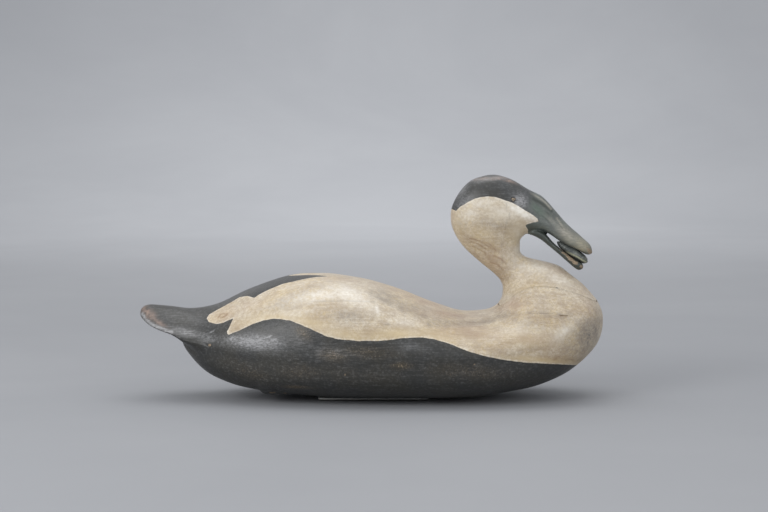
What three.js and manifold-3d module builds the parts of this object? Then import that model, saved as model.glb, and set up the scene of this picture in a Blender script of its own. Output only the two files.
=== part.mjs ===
// Working duck decoy: an eider drake carved in wood, with its neck bent back and a mussel in its bill.
// Millimetres. +X points to the breast, +Y to the bird's left, +Z up.
// The origin is on the surface that the decoy stands on, under the middle of its length and width.
//
// Four pieces: the body, the head and neck let into a mortise in the breast, the mussel,
// and the ballast plate.
import * as THREE from "three";
import { mergeVertices } from "three/addons/utils/BufferGeometryUtils.js";
import Module from "manifold-3d";

const wasm = await Module();
wasm.setup();

// Driving dimensions
const HALF_LENGTH = 254; // tail tip to breast is 508
const JOINT_GAP = 0.3; // all round the let-in neck and over the ballast plate
const FOOT_TAPER = 0.6; // the let-in foot is this much slimmer at its bottom, all round
const BALLAST = { from: -58, to: 63, width: 60, thickness: 3.2, corner: 5 };
const FLAT_BOTTOM = BALLAST.thickness + JOINT_GAP; // height of the planed underside
const TAIL_ROUND = -225; // behind this the tail's outline rounds off to its tip
const TAIL_END = -210; // where the tail's underside meets the stern
const STERN_ROOT = -201; // foot of the hollow under the tail
const FLAT_STEP = [-125, -116]; // the worn step at the rear end of the planed underside
const RIDGE_FOOT = [122, 134]; // where the back starts to rise to the neck
const STERN_FULL = [-185, -172]; // between these the stern widens to the whole body
const RIM = { thickness: 4.6, setIn: 0.5 }; // the tail's edge
const HULL_CORNER = 0.12; // share of the half-width where the hull's curve hands over to its flat
const MORTISE = { from: 139, to: 247, halfWidth: 35, floor: 92, squareness: 3 };

// Lines of the body, as [x, value], from the tail tip to the breast
const BACK_LINE = [
  [-254, 92.5], [-251.5, 99.2], [-243, 102.4], [-222, 100.8], [-198, 98.2], [-175, 101.5],
  [-132, 120.2], [-95, 131.8], [-57, 135.9], [-15, 130.9], [26.6, 120.3], [68.4, 104.3],
  [105, 94.3], [124.4, 95.8], [139, 100], [155, 107], [172, 113], [188, 116], [204, 116.5],
  [220, 114.5], [235, 109.5], [247, 101], [254, 87],
];
const KEEL_LINE = [
  [-254, 92.5], [-250, 87.2], [-240, 80.7], [-225, 75.3], [-212, 71.2], [TAIL_END, 69.4],
  [-205.5, 58], [-196, 44], [-175, 26.2], [-143, 14.2], [-125, 10.8], [-121, 9.2], [-116, 5.4],
  [-80, 6.2], [-58, 4.6], [-35, 3.2], [10, 2.6], [75, 2.6], [104, 3.6], [120, 4.8], [143.8, 8.4],
  [173, 13.4], [194, 20], [210, 27.3], [223, 36], [237, 48.2], [247.3, 60.8], [254, 87],
];
const WIDEST_LINE = [
  [-254, 92.5], [-248, 88.5], [-239, 83.5], [-210, 73], [-181, 64], [-150, 58],
  [-80, 54], [60, 53], [130, 57], [190, 70], [225, 80], [254, 87],
];
const HALF_WIDTH = [
  [-254, 0], [-249, 17], [-239, 29], [-225, 37.5], [-210, 42], [-181, 47], [-160, 58],
  [-120, 76], [-70, 90], [0, 97], [70, 98], [120, 94], [160, 84.5], [200, 69.5], [225, 55.5],
  [240, 41.5], [249, 26.5], [254, 0],
];
const STERN_HALF_WIDTH = [
  [-254, 0], [-249, 9], [-225, 15], [TAIL_END, 18], [-198, 30], [-181, 44.5], [-172, 50.5],
];
const SHOULDER_POWER = [
  [-254, 2], [-172, 2], [-100, 2.3], [-45, 2.55], [-10, 2.5], [28, 2.1], [75, 1.95], [200, 1.95],
  [235, 2.3], [254, 2.2],
];
const RIDGE = [
  [-254, 0], [127, 0], [139, 3.5], [145, 13], [157, 29], [170, 34], [180, 34.5], [190, 33.5], [203.5, 28.7],
  [216.8, 21.3], [230.1, 14.2], [243.4, 9], [251.4, 3.5], [254, 0],
]; // added to BACK_LINE under the neck
const RIDGE_HALF_WIDTH = [[-254, 22], [139, 22], [145, 27], [157, 38], [175, 46], [254, 47]];
const RIDGE_POWER = 1.5;
const HULL_POWER = 2.7;
const VALLEY = { depth: 2.2, reach: 15, starts: [20, 105], ends: [140, 165] }; // beside the saddle
const VALLEY_LINE = [[50, 78], [64, 73], [107, 61], [125, 57], [150, 64]];

// Number of faces round and along, and the band of faces on the back that the mortise is cut in
const FACES = { flank: 8, hull: 7, flat: 2, neckSide: 18, headLong: 44 };
const FINE_FACES = { roundEnd: 5, jawSide: 8, jawLong: 15, musselSide: 8, musselLong: 12 };
const BAND = { halfWidth: 37, share: 0.42, edge: 2 };

// A smooth line through [x, value] knots that never overshoots them (monotone cubic).
// It runs over the scale that warp gives.
function lineThrough(knots, warp = (x) => x) {
  const at = knots.map(([x]) => warp(x));
  const values = knots.map(([, value]) => value);
  const slopes = values.slice(1).map((value, i) => (value - values[i]) / (at[i + 1] - at[i]));
  const tangents = values.map((_, i) => {
    if (i === 0) return slopes[0];
    if (i === slopes.length) return slopes[i - 1];
    const [before, after] = [slopes[i - 1], slopes[i]];
    return before * after <= 0 ? 0 : (2 * before * after) / (before + after);
  });
  return (x) => {
    const t = THREE.MathUtils.clamp(warp(x), at[0], at[at.length - 1]);
    let i = 0;
    while (i < slopes.length - 1 && t > at[i + 1]) i++;
    const step = at[i + 1] - at[i];
    const s = (t - at[i]) / step;
    const [a, b] = [values[i], values[i + 1]];
    const [ma, mb] = [tangents[i] * step, tangents[i + 1] * step];
    return a + s * (ma + s * (3 * (b - a) - 2 * ma - mb + s * (ma + mb - 2 * (b - a))));
  };
}

// The body's lines run over the angle whose sine is x / HALF_LENGTH.
// So they end round at the tail and the breast.
const alongBody = (x) => Math.asin(THREE.MathUtils.clamp(x / HALF_LENGTH, -1, 1));
const bodyLine = (knots) => lineThrough(knots, alongBody);
const backHeight = bodyLine(BACK_LINE);
const keelHeight = bodyLine(KEEL_LINE);
const widestHeight = bodyLine(WIDEST_LINE);
const halfWidth = bodyLine(HALF_WIDTH);
const sternHalfWidth = bodyLine(STERN_HALF_WIDTH);
const shoulderPower = bodyLine(SHOULDER_POWER);
const ridgeHeight = bodyLine(RIDGE);
const ridgeHalfWidth = bodyLine(RIDGE_HALF_WIDTH);
const valleyLine = lineThrough(VALLEY_LINE);

const fade = (x, from, to) => THREE.MathUtils.smoothstep(x, from, to);
const bump = (distance, reach) => Math.exp(-((distance / reach) ** 2));

// Plan outline of the mortise, shrunk by gap: angle 0 is its back end and half a turn its front end.
function mortisePoint(angle, gap) {
  const middle = (MORTISE.from + MORTISE.to) / 2;
  const reach = (MORTISE.to - MORTISE.from) / 2 - gap;
  const power = 2 / MORTISE.squareness;
  const [cos, sin] = [Math.cos(angle), Math.sin(angle)];
  return {
    x: middle - reach * Math.sign(cos) * Math.abs(cos) ** power,
    y: (MORTISE.halfWidth - gap) * sin ** power,
  };
}

// Half-width of the band of faces along the middle of the back. The mortise is cut within it.
function bandHalfWidth(x, cut) {
  const plain = Math.min(BAND.halfWidth, BAND.share * halfWidth(x));
  return cut ? Math.max(plain, cut.half + BAND.edge) : plain;
}

// Height of the carved upper surface over a point (x, y) of the plan.
function upperHeight(x, y) {
  const [top, side] = [backHeight(x), widestHeight(x)];
  const share = Math.min(Math.abs(y) / halfWidth(x), 1);
  const power = shoulderPower(x);
  const round = (1 - share ** power) ** (1 / power);
  const brimmed = (1 - share ** 2) ** 1.5;
  const tail = 1 - fade(x, TAIL_END - 5, TAIL_END + 62);
  const beside = fade(x, ...VALLEY.starts) * (1 - fade(x, ...VALLEY.ends));
  const valley = VALLEY.depth * beside * bump(Math.abs(y) - valleyLine(x), VALLEY.reach);
  const ridge = ridgeHeight(x) * round * Math.exp(-((Math.abs(y) / ridgeHalfWidth(x)) ** RIDGE_POWER));
  return side + (top - side) * THREE.MathUtils.lerp(round, brimmed, tail) + ridge - valley;
}

// One side of the body's section at x, from the middle of the back to the middle of the bottom, as [y, z].
// Where the section meets the mortise, cut gives its half-width
// and whether it is sunk to the mortise's floor.
function bodySide(x, cut) {
  const half = halfWidth(x);
  const [side, keel] = [widestHeight(x), keelHeight(x)];
  const band = bandHalfWidth(x, cut);
  const seam = cut ? cut.half : 0.75 * band;
  const inner = cut?.sunk ? [0, seam / 2, seam] : [0, seam / 3, cut ? seam - JOINT_GAP / 2 : (2 * seam) / 3];
  const points = inner.map((y) => [y, cut?.sunk ? MORTISE.floor : upperHeight(x, y)]);
  points.push([seam, upperHeight(x, seam)]);
  const start = Math.asin(band / half);
  for (let i = 0; i < FACES.flank; i++) {
    const y = half * Math.sin(start + ((Math.PI / 2 - start) * i) / FACES.flank);
    points.push([y, upperHeight(x, y)]);
  }
  points.push([half, side]);
  const hull = THREE.MathUtils.lerp(sternHalfWidth(x), half - RIM.setIn, fade(x, ...STERN_FULL));
  const hullTop = side - Math.min(RIM.thickness, 0.9 * (side - keel));
  const depth = hullTop - keel;
  const flatShare = Math.max(0, depth - (FLAT_BOTTOM - keel)) / depth;
  const chine = keel < FLAT_BOTTOM ? hull * (1 - flatShare ** HULL_POWER) ** (1 / HULL_POWER) : 0;
  const chineHalf = Math.max(chine, HULL_CORNER * hull);
  const stop = Math.asin(Math.min(1, (chineHalf / hull) ** (HULL_POWER / 2)));
  for (let i = 0; i <= FACES.hull; i++) {
    const angle = Math.PI / 2 + ((stop - Math.PI / 2) * i) / FACES.hull;
    const y = i === 0 ? half - RIM.setIn : hull * Math.sin(angle) ** (2 / HULL_POWER);
    const z = hullTop - depth * Math.cos(angle) ** (2 / HULL_POWER);
    points.push([y, Math.max(z, FLAT_BOTTOM)]);
  }
  const floor = points[points.length - 1];
  for (let i = 1; i <= FACES.flat; i++) {
    const left = 1 - i / FACES.flat;
    points.push([floor[0] * left, Math.max(THREE.MathUtils.lerp(keel, floor[1], left ** 2), FLAT_BOTTOM)]);
  }
  return points;
}

// A closed ring of points from one side's points, down the left and up the right.
function mirrored(side, place) {
  const left = side.map(([y, along]) => place(y, along));
  const right = side.slice(1, -1).map(([y, along]) => place(-y, along));
  return [...left, ...right.reverse()];
}

// Skins rings of equal length and closes both ends on a point. Both halves are cut along mirrored diagonals.
function skin(rings, firstPoint, lastPoint) {
  const count = rings[0].length;
  const points = [...rings.flat(), firstPoint, lastPoint];
  const [first, last] = [points.length - 2, points.length - 1];
  const bottom = (rings.length - 1) * count;
  const index = [];
  for (let i = 0; i < count; i++) {
    const next = (i + 1) % count;
    index.push(first, i, next, last, bottom + next, bottom + i);
    for (let j = 0; j < rings.length - 1; j++) {
      const [a, b] = [j * count + i, j * count + next];
      const [c, d] = [a + count, b + count];
      if (i < count / 2) index.push(a, d, b, a, c, d);
      else index.push(a, c, b, b, c, d);
    }
  }
  const geometry = new THREE.BufferGeometry().setFromPoints(points);
  geometry.setIndex(index);
  return geometry;
}

function solidOf(geometry) {
  const bare = new THREE.BufferGeometry();
  bare.setAttribute("position", geometry.getAttribute("position"));
  bare.setIndex(geometry.index);
  const merged = mergeVertices(bare, 1e-3);
  const mesh = new wasm.Mesh({
    numProp: 3,
    vertProperties: merged.attributes.position.array,
    triVerts: new Uint32Array(merged.index.array),
  });
  return new wasm.Manifold(mesh);
}

function geometryOf(solid) {
  const mesh = solid.getMesh();
  const geometry = new THREE.BufferGeometry();
  geometry.setAttribute("position", new THREE.BufferAttribute(new Float32Array(mesh.vertProperties), 3));
  geometry.setIndex(new THREE.BufferAttribute(mesh.triVerts, 1));
  return geometry;
}

// Stations along the body, closer together where its lines turn fast.
// Those over the mortise say how it is cut.
function bodyStations() {
  const stations = [];
  const run = (from, to, steps) => {
    for (let i = 0; i < steps; i++) stations.push({ x: from + ((to - from) * i) / steps });
  };
  const roundEnd = (from, steps) => {
    const start = alongBody(from);
    const end = (Math.sign(from) * Math.PI) / 2;
    return Array.from({ length: steps - 1 }, (_, i) => {
      const angle = THREE.MathUtils.lerp(start, end, (i + 1) / steps);
      return { x: HALF_LENGTH * Math.sin(angle) };
    });
  };
  stations.push(...roundEnd(TAIL_ROUND, FINE_FACES.roundEnd).reverse());
  const runs = [
    [TAIL_ROUND, TAIL_END, 2],
    [TAIL_END, STERN_ROOT, 2],
    [STERN_ROOT, FLAT_STEP[0], 7],
    [...FLAT_STEP, 2],
    [FLAT_STEP[1], RIDGE_FOOT[0], 17],
    [...RIDGE_FOOT, 2],
    [RIDGE_FOOT[1], MORTISE.from, 2],
  ];
  for (const [from, to, steps] of runs) run(from, to, steps);
  const endHalf = mortisePoint(Math.PI / FACES.neckSide, 0).y;
  stations.push({ x: MORTISE.from, cut: { half: endHalf, sunk: false } });
  for (let i = 1; i < FACES.neckSide; i++) {
    const { x, y } = mortisePoint((Math.PI * i) / FACES.neckSide, 0);
    stations.push({ x, cut: { half: y, sunk: true } });
  }
  stations.push({ x: MORTISE.to, cut: { half: endHalf, sunk: false } });
  stations.push(...roundEnd(MORTISE.to, FINE_FACES.roundEnd));
  return stations;
}

function makeBody() {
  const rings = bodyStations().map(({ x, cut }) =>
    mirrored(bodySide(x, cut), (y, z) => new THREE.Vector3(x, y, z)),
  );
  const tailTip = new THREE.Vector3(-HALF_LENGTH, 0, backHeight(-HALF_LENGTH));
  const breast = new THREE.Vector3(HALF_LENGTH, 0, backHeight(HALF_LENGTH));
  return skin(rings, tailTip, breast);
}

// The head and neck: its sections run from an outer line (back of the neck, crown, top of the bill)
// to an inner line (front of the neck, throat, mouth). Rows are [share of the way to the bill's tip, x, z].
const OUTER_LINE = [
  [0, 139.3, 104.5], [0.05, 143.3, 112], [0.1, 144, 121], [0.15, 141, 129], [0.2, 134, 136.5],
  [0.27, 116.5, 151], [0.34, 98, 169], [0.4, 88.1, 188], [0.425, 86.6, 197], [0.45, 87.2, 206],
  [0.5, 95.8, 225], [0.55, 112, 240], [0.6, 133, 244.8], [0.65, 151.5, 240.2], [0.7, 171, 229],
  [0.75, 186.3, 221.2], [0.8, 199, 208], [0.86, 213.5, 191.5], [0.93, 231, 175.8], [0.98, 240.6, 166],
  [1, 242, 160.6],
];
const INNER_LINE = [
  [0, 246.7, 106], [0.05, 232, 123], [0.1, 212.5, 138.8], [0.12, 204, 145.2], [0.15, 190, 149.3],
  [0.2, 168, 155.3], [0.25, 162.7, 161.5], [0.35, 162.6, 171.5], [0.45, 168.3, 179], [0.55, 176, 181.4],
  [0.7, 188, 182.7], [0.76, 194.1, 179.8], [0.86, 208.7, 170.2], [0.93, 225.2, 162.2],
  [0.98, 237, 156.8], [1, 240, 156.6],
];
const HEAD_HALF_WIDTH = [
  [0, 34.7], [0.08, 28], [0.15, 20.5], [0.2, 17.8], [0.27, 18], [0.35, 20.5], [0.45, 25],
  [0.52, 26.3], [0.6, 24.5], [0.67, 19.5], [0.72, 16.3], [0.8, 14.6], [0.92, 12.6], [0.97, 9.5], [1, 4],
];
const BELLY = [[0, 0.5], [0.3, 0.5], [0.45, 0.56], [0.6, 0.62], [0.7, 0.66], [0.8, 0.72], [1, 0.66]];
const CROWN_POWER = [[0, 3], [0.1, 2.2], [0.2, 2], [0.42, 2.1], [0.55, 2.4], [0.66, 2.4], [0.8, 2.1], [1, 2]];
const THROAT_POWER = [[0, 3], [0.1, 2.2], [0.2, 2], [0.6, 2], [0.72, 2.6], [0.85, 3.4], [1, 2.2]];
// The hollow beside the bill's flat top
const LOBE = { middle: 0.745, reach: 0.06, angle: 0.95, spread: 0.42, depth: 2 };
const SEAM_FADE = { share: 0.2, power: 1.6 }; // how the arch of the seam dies out up the neck

const column = (rows, which) => lineThrough(rows.map((row) => [row[0], row[which]]));
const outerX = column(OUTER_LINE, 1);
const outerZ = column(OUTER_LINE, 2);
const innerX = column(INNER_LINE, 1);
const innerZ = column(INNER_LINE, 2);
const headHalfWidth = lineThrough(HEAD_HALF_WIDTH);
const belly = lineThrough(BELLY);
const crownPower = lineThrough(CROWN_POWER);
const throatPower = lineThrough(THROAT_POWER);

// A point of the section at share u, turned by angle from the outer line (0) to the inner line (half a turn).
function headPoint(u, angle, side) {
  const [cos, sin] = [Math.cos(angle), Math.sin(angle)];
  const power = cos > 0 ? crownPower(u) : throatPower(u);
  const hollow = LOBE.depth * bump(u - LOBE.middle, LOBE.reach) * bump(angle - LOBE.angle, LOBE.spread);
  const across = Math.abs(sin) ** (2 / power) * (1 - hollow / headHalfWidth(u));
  const middle = belly(u);
  const reach = Math.abs(cos) ** (2 / power);
  const along = cos > 0 ? middle * (1 - reach) : middle + (1 - middle) * reach;
  const x = THREE.MathUtils.lerp(outerX(u), innerX(u), along);
  const z = THREE.MathUtils.lerp(outerZ(u), innerZ(u), along);
  return new THREE.Vector3(x, side * headHalfWidth(u) * across, z);
}

function headRing(point) {
  const angles = Array.from({ length: FACES.neckSide + 1 }, (_, i) => (Math.PI * i) / FACES.neckSide);
  const left = angles.map((angle) => point(angle, 1));
  const right = angles.slice(1, -1).map((angle) => point(angle, -1));
  return [...left, ...right.reverse()];
}

// The neck's foot fills the mortise, and its sides start out flush with the breast's surface.
function makeHeadLoft() {
  const footHeight = MORTISE.floor + JOINT_GAP;
  const footRing = (gap, heightAt) =>
    headRing((angle, side) => {
      const { x, y } = mortisePoint(angle, gap);
      return new THREE.Vector3(x, side * y, heightAt(x, y));
    });
  const seam = footRing(JOINT_GAP, upperHeight);
  const chord = headRing((angle, side) => headPoint(0, angle, side));
  const rings = [footRing(JOINT_GAP + FOOT_TAPER, () => footHeight), seam];
  for (let i = 1; i < FACES.headLong; i++) {
    const u = i / FACES.headLong;
    const left = (1 - Math.min(u / SEAM_FADE.share, 1)) ** SEAM_FADE.power;
    const plain = headRing((angle, side) => headPoint(u, angle, side));
    rings.push(plain.map((point, k) => point.addScaledVector(seam[k].clone().sub(chord[k]), left)));
  }
  const foot = new THREE.Vector3((MORTISE.from + MORTISE.to) / 2, 0, footHeight);
  const tip = new THREE.Vector3(outerX(1), 0, (outerZ(1) + innerZ(1)) / 2);
  return skin(rings, foot, tip);
}

// The lower half of the bill, from inside the cheeks to its tip. Rows are [share, x, z].
const JAW_TOP = [
  [0, 170, 190], [0.2, 181, 186], [0.34, 189.5, 181], [0.5, 199.2, 170.5], [0.66, 211, 160.6],
  [0.8, 220.6, 153.4], [0.95, 232, 147], [1, 233.6, 144.4],
];
const JAW_BOTTOM = [
  [0, 166, 181], [0.2, 176.5, 177.9], [0.34, 184.5, 173.8], [0.5, 194.5, 166], [0.66, 206, 156.5],
  [0.8, 215.5, 148.2], [0.95, 227.8, 139.9], [1, 231, 140.2],
];
const JAW_HALF_WIDTH = [[0, 8], [0.2, 13.4], [0.5, 12.6], [0.85, 11], [0.95, 8], [1, 3]];
const JAW_POWER = 2.6;

function makeJaw() {
  const [topX, topZ] = [column(JAW_TOP, 1), column(JAW_TOP, 2)];
  const [bottomX, bottomZ] = [column(JAW_BOTTOM, 1), column(JAW_BOTTOM, 2)];
  const half = lineThrough(JAW_HALF_WIDTH);
  const rings = Array.from({ length: FINE_FACES.jawLong - 1 }, (_, i) => {
    const u = (i + 1) / FINE_FACES.jawLong;
    const side = Array.from({ length: FINE_FACES.jawSide + 1 }, (_, k) => {
      const angle = (Math.PI * k) / FINE_FACES.jawSide;
      const [cos, sin] = [Math.cos(angle), Math.sin(angle)];
      const along = 0.5 - 0.5 * Math.sign(cos) * Math.abs(cos) ** (2 / JAW_POWER);
      return [half(u) * sin ** (2 / JAW_POWER), along];
    });
    const place = (y, along) =>
      new THREE.Vector3(
        THREE.MathUtils.lerp(topX(u), bottomX(u), along),
        y,
        THREE.MathUtils.lerp(topZ(u), bottomZ(u), along),
      );
    return mirrored(side, place);
  });
  const root = new THREE.Vector3((topX(0) + bottomX(0)) / 2, 0, (topZ(0) + bottomZ(0)) / 2);
  const tip = new THREE.Vector3((topX(1) + bottomX(1)) / 2, 0, (topZ(1) + bottomZ(1)) / 2);
  return skin(rings, root, tip);
}

// The mussel lies flat in the bill. Its beak, the narrow end, points to the throat.
const MUSSEL = { length: 41, width: 19, thickness: 12, middle: [219.9, 159.8], slope: 34 };
const MUSSEL_FULLNESS = [[0, 0], [0.06, 0.42], [0.25, 0.78], [0.6, 1], [0.85, 0.84], [0.96, 0.5], [1, 0]];

function makeMussel(grow = 0) {
  const fullness = lineThrough(MUSSEL_FULLNESS);
  const length = MUSSEL.length + 2 * grow;
  const width = MUSSEL.width + 2 * grow;
  const thickness = MUSSEL.thickness + 2 * grow;
  const rings = Array.from({ length: FINE_FACES.musselLong - 1 }, (_, i) => {
    const u = 0.5 - 0.5 * Math.cos((Math.PI * (i + 1)) / FINE_FACES.musselLong);
    const side = Array.from({ length: FINE_FACES.musselSide + 1 }, (_, k) => {
      const angle = (Math.PI * k) / FINE_FACES.musselSide;
      const half = 0.5 * fullness(u);
      return [width * half * Math.sin(angle), thickness * half * Math.cos(angle)];
    });
    return mirrored(side, (y, z) => new THREE.Vector3((u - 0.5) * length, y, z));
  });
  const beak = new THREE.Vector3(-length / 2, 0, 0);
  const lip = new THREE.Vector3(length / 2, 0, 0);
  const shell = skin(rings, beak, lip);
  const [middleX, middleZ] = MUSSEL.middle;
  return shell.rotateY(THREE.MathUtils.degToRad(MUSSEL.slope)).translate(middleX, 0, middleZ);
}

// Both halves of the bill are hollowed where the mussel lies against them.
function makeHead() {
  const bill = solidOf(makeHeadLoft()).add(solidOf(makeJaw()));
  return geometryOf(bill.subtract(solidOf(makeMussel(JOINT_GAP))));
}

function makeBallast() {
  const [x0, x1] = [BALLAST.from, BALLAST.to];
  const [y, r] = [BALLAST.width / 2, BALLAST.corner];
  const outline = new THREE.Shape();
  outline.moveTo(x0 + r, -y);
  outline.lineTo(x1 - r, -y);
  outline.absarc(x1 - r, -y + r, r, -Math.PI / 2, 0);
  outline.absarc(x1 - r, y - r, r, 0, Math.PI / 2);
  outline.absarc(x0 + r, y - r, r, Math.PI / 2, Math.PI);
  outline.absarc(x0 + r, -y + r, r, Math.PI, 1.5 * Math.PI);
  const options = { depth: BALLAST.thickness, bevelEnabled: false, curveSegments: 4 };
  return new THREE.ExtrudeGeometry(outline, options);
}

const blackPaint = new THREE.MeshStandardMaterial({ color: 0x3c3d3c, roughness: 0.5, metalness: 0 });
const whitePaint = new THREE.MeshStandardMaterial({ color: 0xbfae8c, roughness: 0.6, metalness: 0 });
const shellPaint = new THREE.MeshStandardMaterial({ color: 0x2a2c33, roughness: 0.35, metalness: 0 });
const oldLead = new THREE.MeshStandardMaterial({ color: 0x6f736d, roughness: 0.6, metalness: 0.6 });

function named(name, geometry, material) {
  const mesh = new THREE.Mesh(geometry, material);
  mesh.name = name;
  return mesh;
}

const decoy = new THREE.Group();
decoy.add(
  named("body", makeBody(), blackPaint),
  named("head_and_neck", makeHead(), whitePaint),
  named("mussel", makeMussel(), shellPaint),
  named("ballast_plate", makeBallast(), oldLead),
);

export default decoy;
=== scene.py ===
"""A working duck decoy: an eider drake with its neck bent back and a mussel in its bill."""

import math

import bmesh
import bpy
import numpy as np
from bpy.props import FloatProperty, FloatVectorProperty, IntProperty, PointerProperty
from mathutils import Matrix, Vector, noise


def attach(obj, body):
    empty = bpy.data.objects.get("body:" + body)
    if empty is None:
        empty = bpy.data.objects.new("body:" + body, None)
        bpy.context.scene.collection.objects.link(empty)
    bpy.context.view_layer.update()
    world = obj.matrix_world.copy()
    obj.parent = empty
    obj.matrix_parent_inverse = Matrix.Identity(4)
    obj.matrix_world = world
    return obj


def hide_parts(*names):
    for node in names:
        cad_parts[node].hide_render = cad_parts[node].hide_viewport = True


bl_info = {
    "name": "Duck Decoy",
    "version": (1, 0, 0),
    "blender": (4, 5, 0),
    "location": "View3D > Sidebar > Decoy",
    "description": "Carves and paints a working duck decoy around its packed model",
    "category": "Add Mesh",
}

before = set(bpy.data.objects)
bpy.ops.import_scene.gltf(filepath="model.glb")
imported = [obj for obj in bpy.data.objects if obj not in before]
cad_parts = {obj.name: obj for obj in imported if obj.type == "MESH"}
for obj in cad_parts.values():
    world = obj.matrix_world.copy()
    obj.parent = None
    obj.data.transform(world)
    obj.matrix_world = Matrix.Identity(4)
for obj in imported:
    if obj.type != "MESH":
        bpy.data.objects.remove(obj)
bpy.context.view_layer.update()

# The camera that the photograph was taken with, in mm: the point it aims at, how far away it stands,
# and how many mm one pixel of the 768 x 512 picture covers there
AIM = np.array([13.75, 0.0, 155.4])
CAMERA_DISTANCE = 2400.0
CAMERA_RISE = math.radians(5)
PIXEL = 1.0955
PICTURE_MIDDLE = (384, 256)
PICTURE_WIDTH = 768
SENSOR = 36.0
NEARLY_ZERO = 1e-9


def srgb(red, green, blue):
    """A colour as a picture shows it, 0 to 255, as the linear colour that Blender works in."""
    shares = (red / 255, green / 255, blue / 255)
    return tuple(c / 12.92 if c <= 0.04045 else ((c + 0.055) / 1.055) ** 2.4 for c in shares)


def colour(name, description, default):
    return FloatVectorProperty(
        name=name, description=description, subtype="COLOR", size=3, min=0, max=1, default=srgb(*default)
    )


def amount(name, description, default, unit="NONE"):
    return FloatProperty(name=name, description=description, default=default, min=0, unit=unit, precision=5)


# Where things show in the photograph, in pixels. The far side is carved and painted as the mirror image.
WHITE_LOWER_EDGE = [
    (228.2, 334.8), (238.4, 331), (251.2, 324.6), (263.9, 320.2), (274.1, 318.6), (289.4, 320.2),
    (302.2, 325.3), (315, 331), (325.5, 335.9), (338.3, 339.1), (357.4, 341), (376.5, 341), (389.3, 340.1),
    (402, 338.1), (421.2, 337.2), (433.9, 339.1), (448.2, 343.3), (466.4, 350.6), (484.5, 356),
    (502.7, 359.7), (526.9, 362.7), (551.2, 363.9), (575.4, 365.1), (640, 366),
]
WHITE_FINGER_TOP = [
    (328, 276.3), (317, 276.9), (309, 278.1), (298.4, 280.3), (283.1, 283.8), (270.3, 288.9),
    (257.6, 295.3), (254.4, 297.9), (247.3, 295.9), (239.7, 297.2), (232, 301.7), (219.3, 308.7),
    (209.1, 314.4), (206.5, 318.3),
]
WHITE_FINGER_BOTTOM = [
    (209.1, 322.1), (216.7, 324), (223.1, 322.7), (228.2, 320.2), (233.3, 318.3), (232, 320.8),
    (229.5, 327.2), (226.9, 332.3),
]
WHITE_OVER_THE_BACK = [
    (640, 200), (279, 200), (279, 277), (284, 276.4), (288, 275.9), (292, 275.6), (300, 275.2), (308, 275),
    (318, 275.2),
]
CAP_EDGE = [
    (436, 205), (452, 209), (456, 211), (459.7, 207), (467, 202.8), (474.3, 199), (480, 197.3),
    (489, 196.4), (496.3, 197.3), (503.7, 199.8), (511, 202.4), (518.3, 206), (525.7, 210.8), (533, 214.9),
    (537.4, 218.5), (538.5, 221.5), (533, 222.6), (526.4, 224.4), (525.3, 225.9), (527.9, 229.5),
    (527.9, 235), (532, 246), (545, 255), (560, 264), (575, 274), (592, 284), (640, 300), (640, 360),
    (436, 360),
]
MOUTH_LINE = [(536, 229), (545, 232), (556, 239.5), (563, 248), (577, 260), (590, 268)]
LOWER_JAW = [*MOUTH_LINE, (590, 285), (560, 280), (522, 242)]
# The cap's paint gives way to the bill's between these columns at this row, and further back lower down
BILL_ROOT_COLUMNS = (522, 536)
BILL_ROOT_ROW = 205
BILL_ROOT_SLANT = 0.35
VALLEY_CREASE = [
    (430, 323), (459, 324), (470, 323.3), (484, 321.4), (493.7, 318.6), (501.3, 315.8), (507.9, 313.4),
]
CHECK_LINE = [(507.9, 313.8), (517, 314), (527, 313), (550, 314), (562, 315.3), (568.5, 315.8)]
OPEN_CHECK = [(560.8, 315.4), (564, 315.8), (568, 315.5)]
WING_FOLDS = [
    [(372, 293), (386, 300), (404, 309), (427, 317)],
    [(380, 292), (398, 301), (418, 309), (440, 315)],
]
NECK_WRINKLES = [
    [(497.5, 303.5), (498.5, 308), (501.5, 311)],
    [(500.5, 302.5), (501.5, 306.5), (504.5, 309)],
]
TAIL_GROOVE = [(183, 339), (196.3, 340.6), (204.6, 343.9), (208.8, 346.4)]
TAIL_RIM = [(142.5, 314), (145, 319), (150, 323.4), (156, 326.6), (164, 329.8), (172, 332.2)]
FINGER_WRINKLES = [
    [(218.4, 317.4), (220.2, 314.8), (223, 313.6), (225.4, 314.2)],
    [(220.6, 317.6), (223.6, 317), (226, 315.4), (227.4, 313.6)],
]
FEATHERING_GROOVE = [(529.5, 196), (530, 203), (537, 212), (548, 222)]
LOBE_SCOOP = [(532, 199), (537, 203.5), (543, 208), (549, 213)]
LOBE_RIDGE = [(530.5, 193.2), (536, 196), (541, 199.2), (545, 202.4), (551, 209)]
LOBE_SHADE = [(533.5, 198.8), (540, 202.6), (546, 206.6), (551, 210.8)]
NOSTRIL = [(556.8, 218.6), (560, 223.2), (563.6, 228.6)]
EYE = (513.2, 199.5)
EYE_STROKE = [EYE, (513.3, 199.5)]
CHEEK_GRAIN = [
    [(470, 238.5), (476, 240), (483, 243), (491, 248)],
    [(471, 242), (478, 244), (486, 249)],
    [(472, 246), (480, 249.5), (486, 254)],
    [(484, 242), (491, 245), (496, 251)],
    [(494, 256), (501, 259), (506, 264)],
    [(490, 262), (498, 265), (503, 270)],
]
WING_SCRATCH = [(290, 301), (320, 301.2), (350, 301), (375, 302)]
VALVE_LINE = [(566, 251.6), (572.4, 254.6), (577, 256.6), (582.7, 260.3), (586, 262)]
SHELL_UNDERSIDE = [*VALVE_LINE, (586, 275), (540, 275), (548, 236)]


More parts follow.
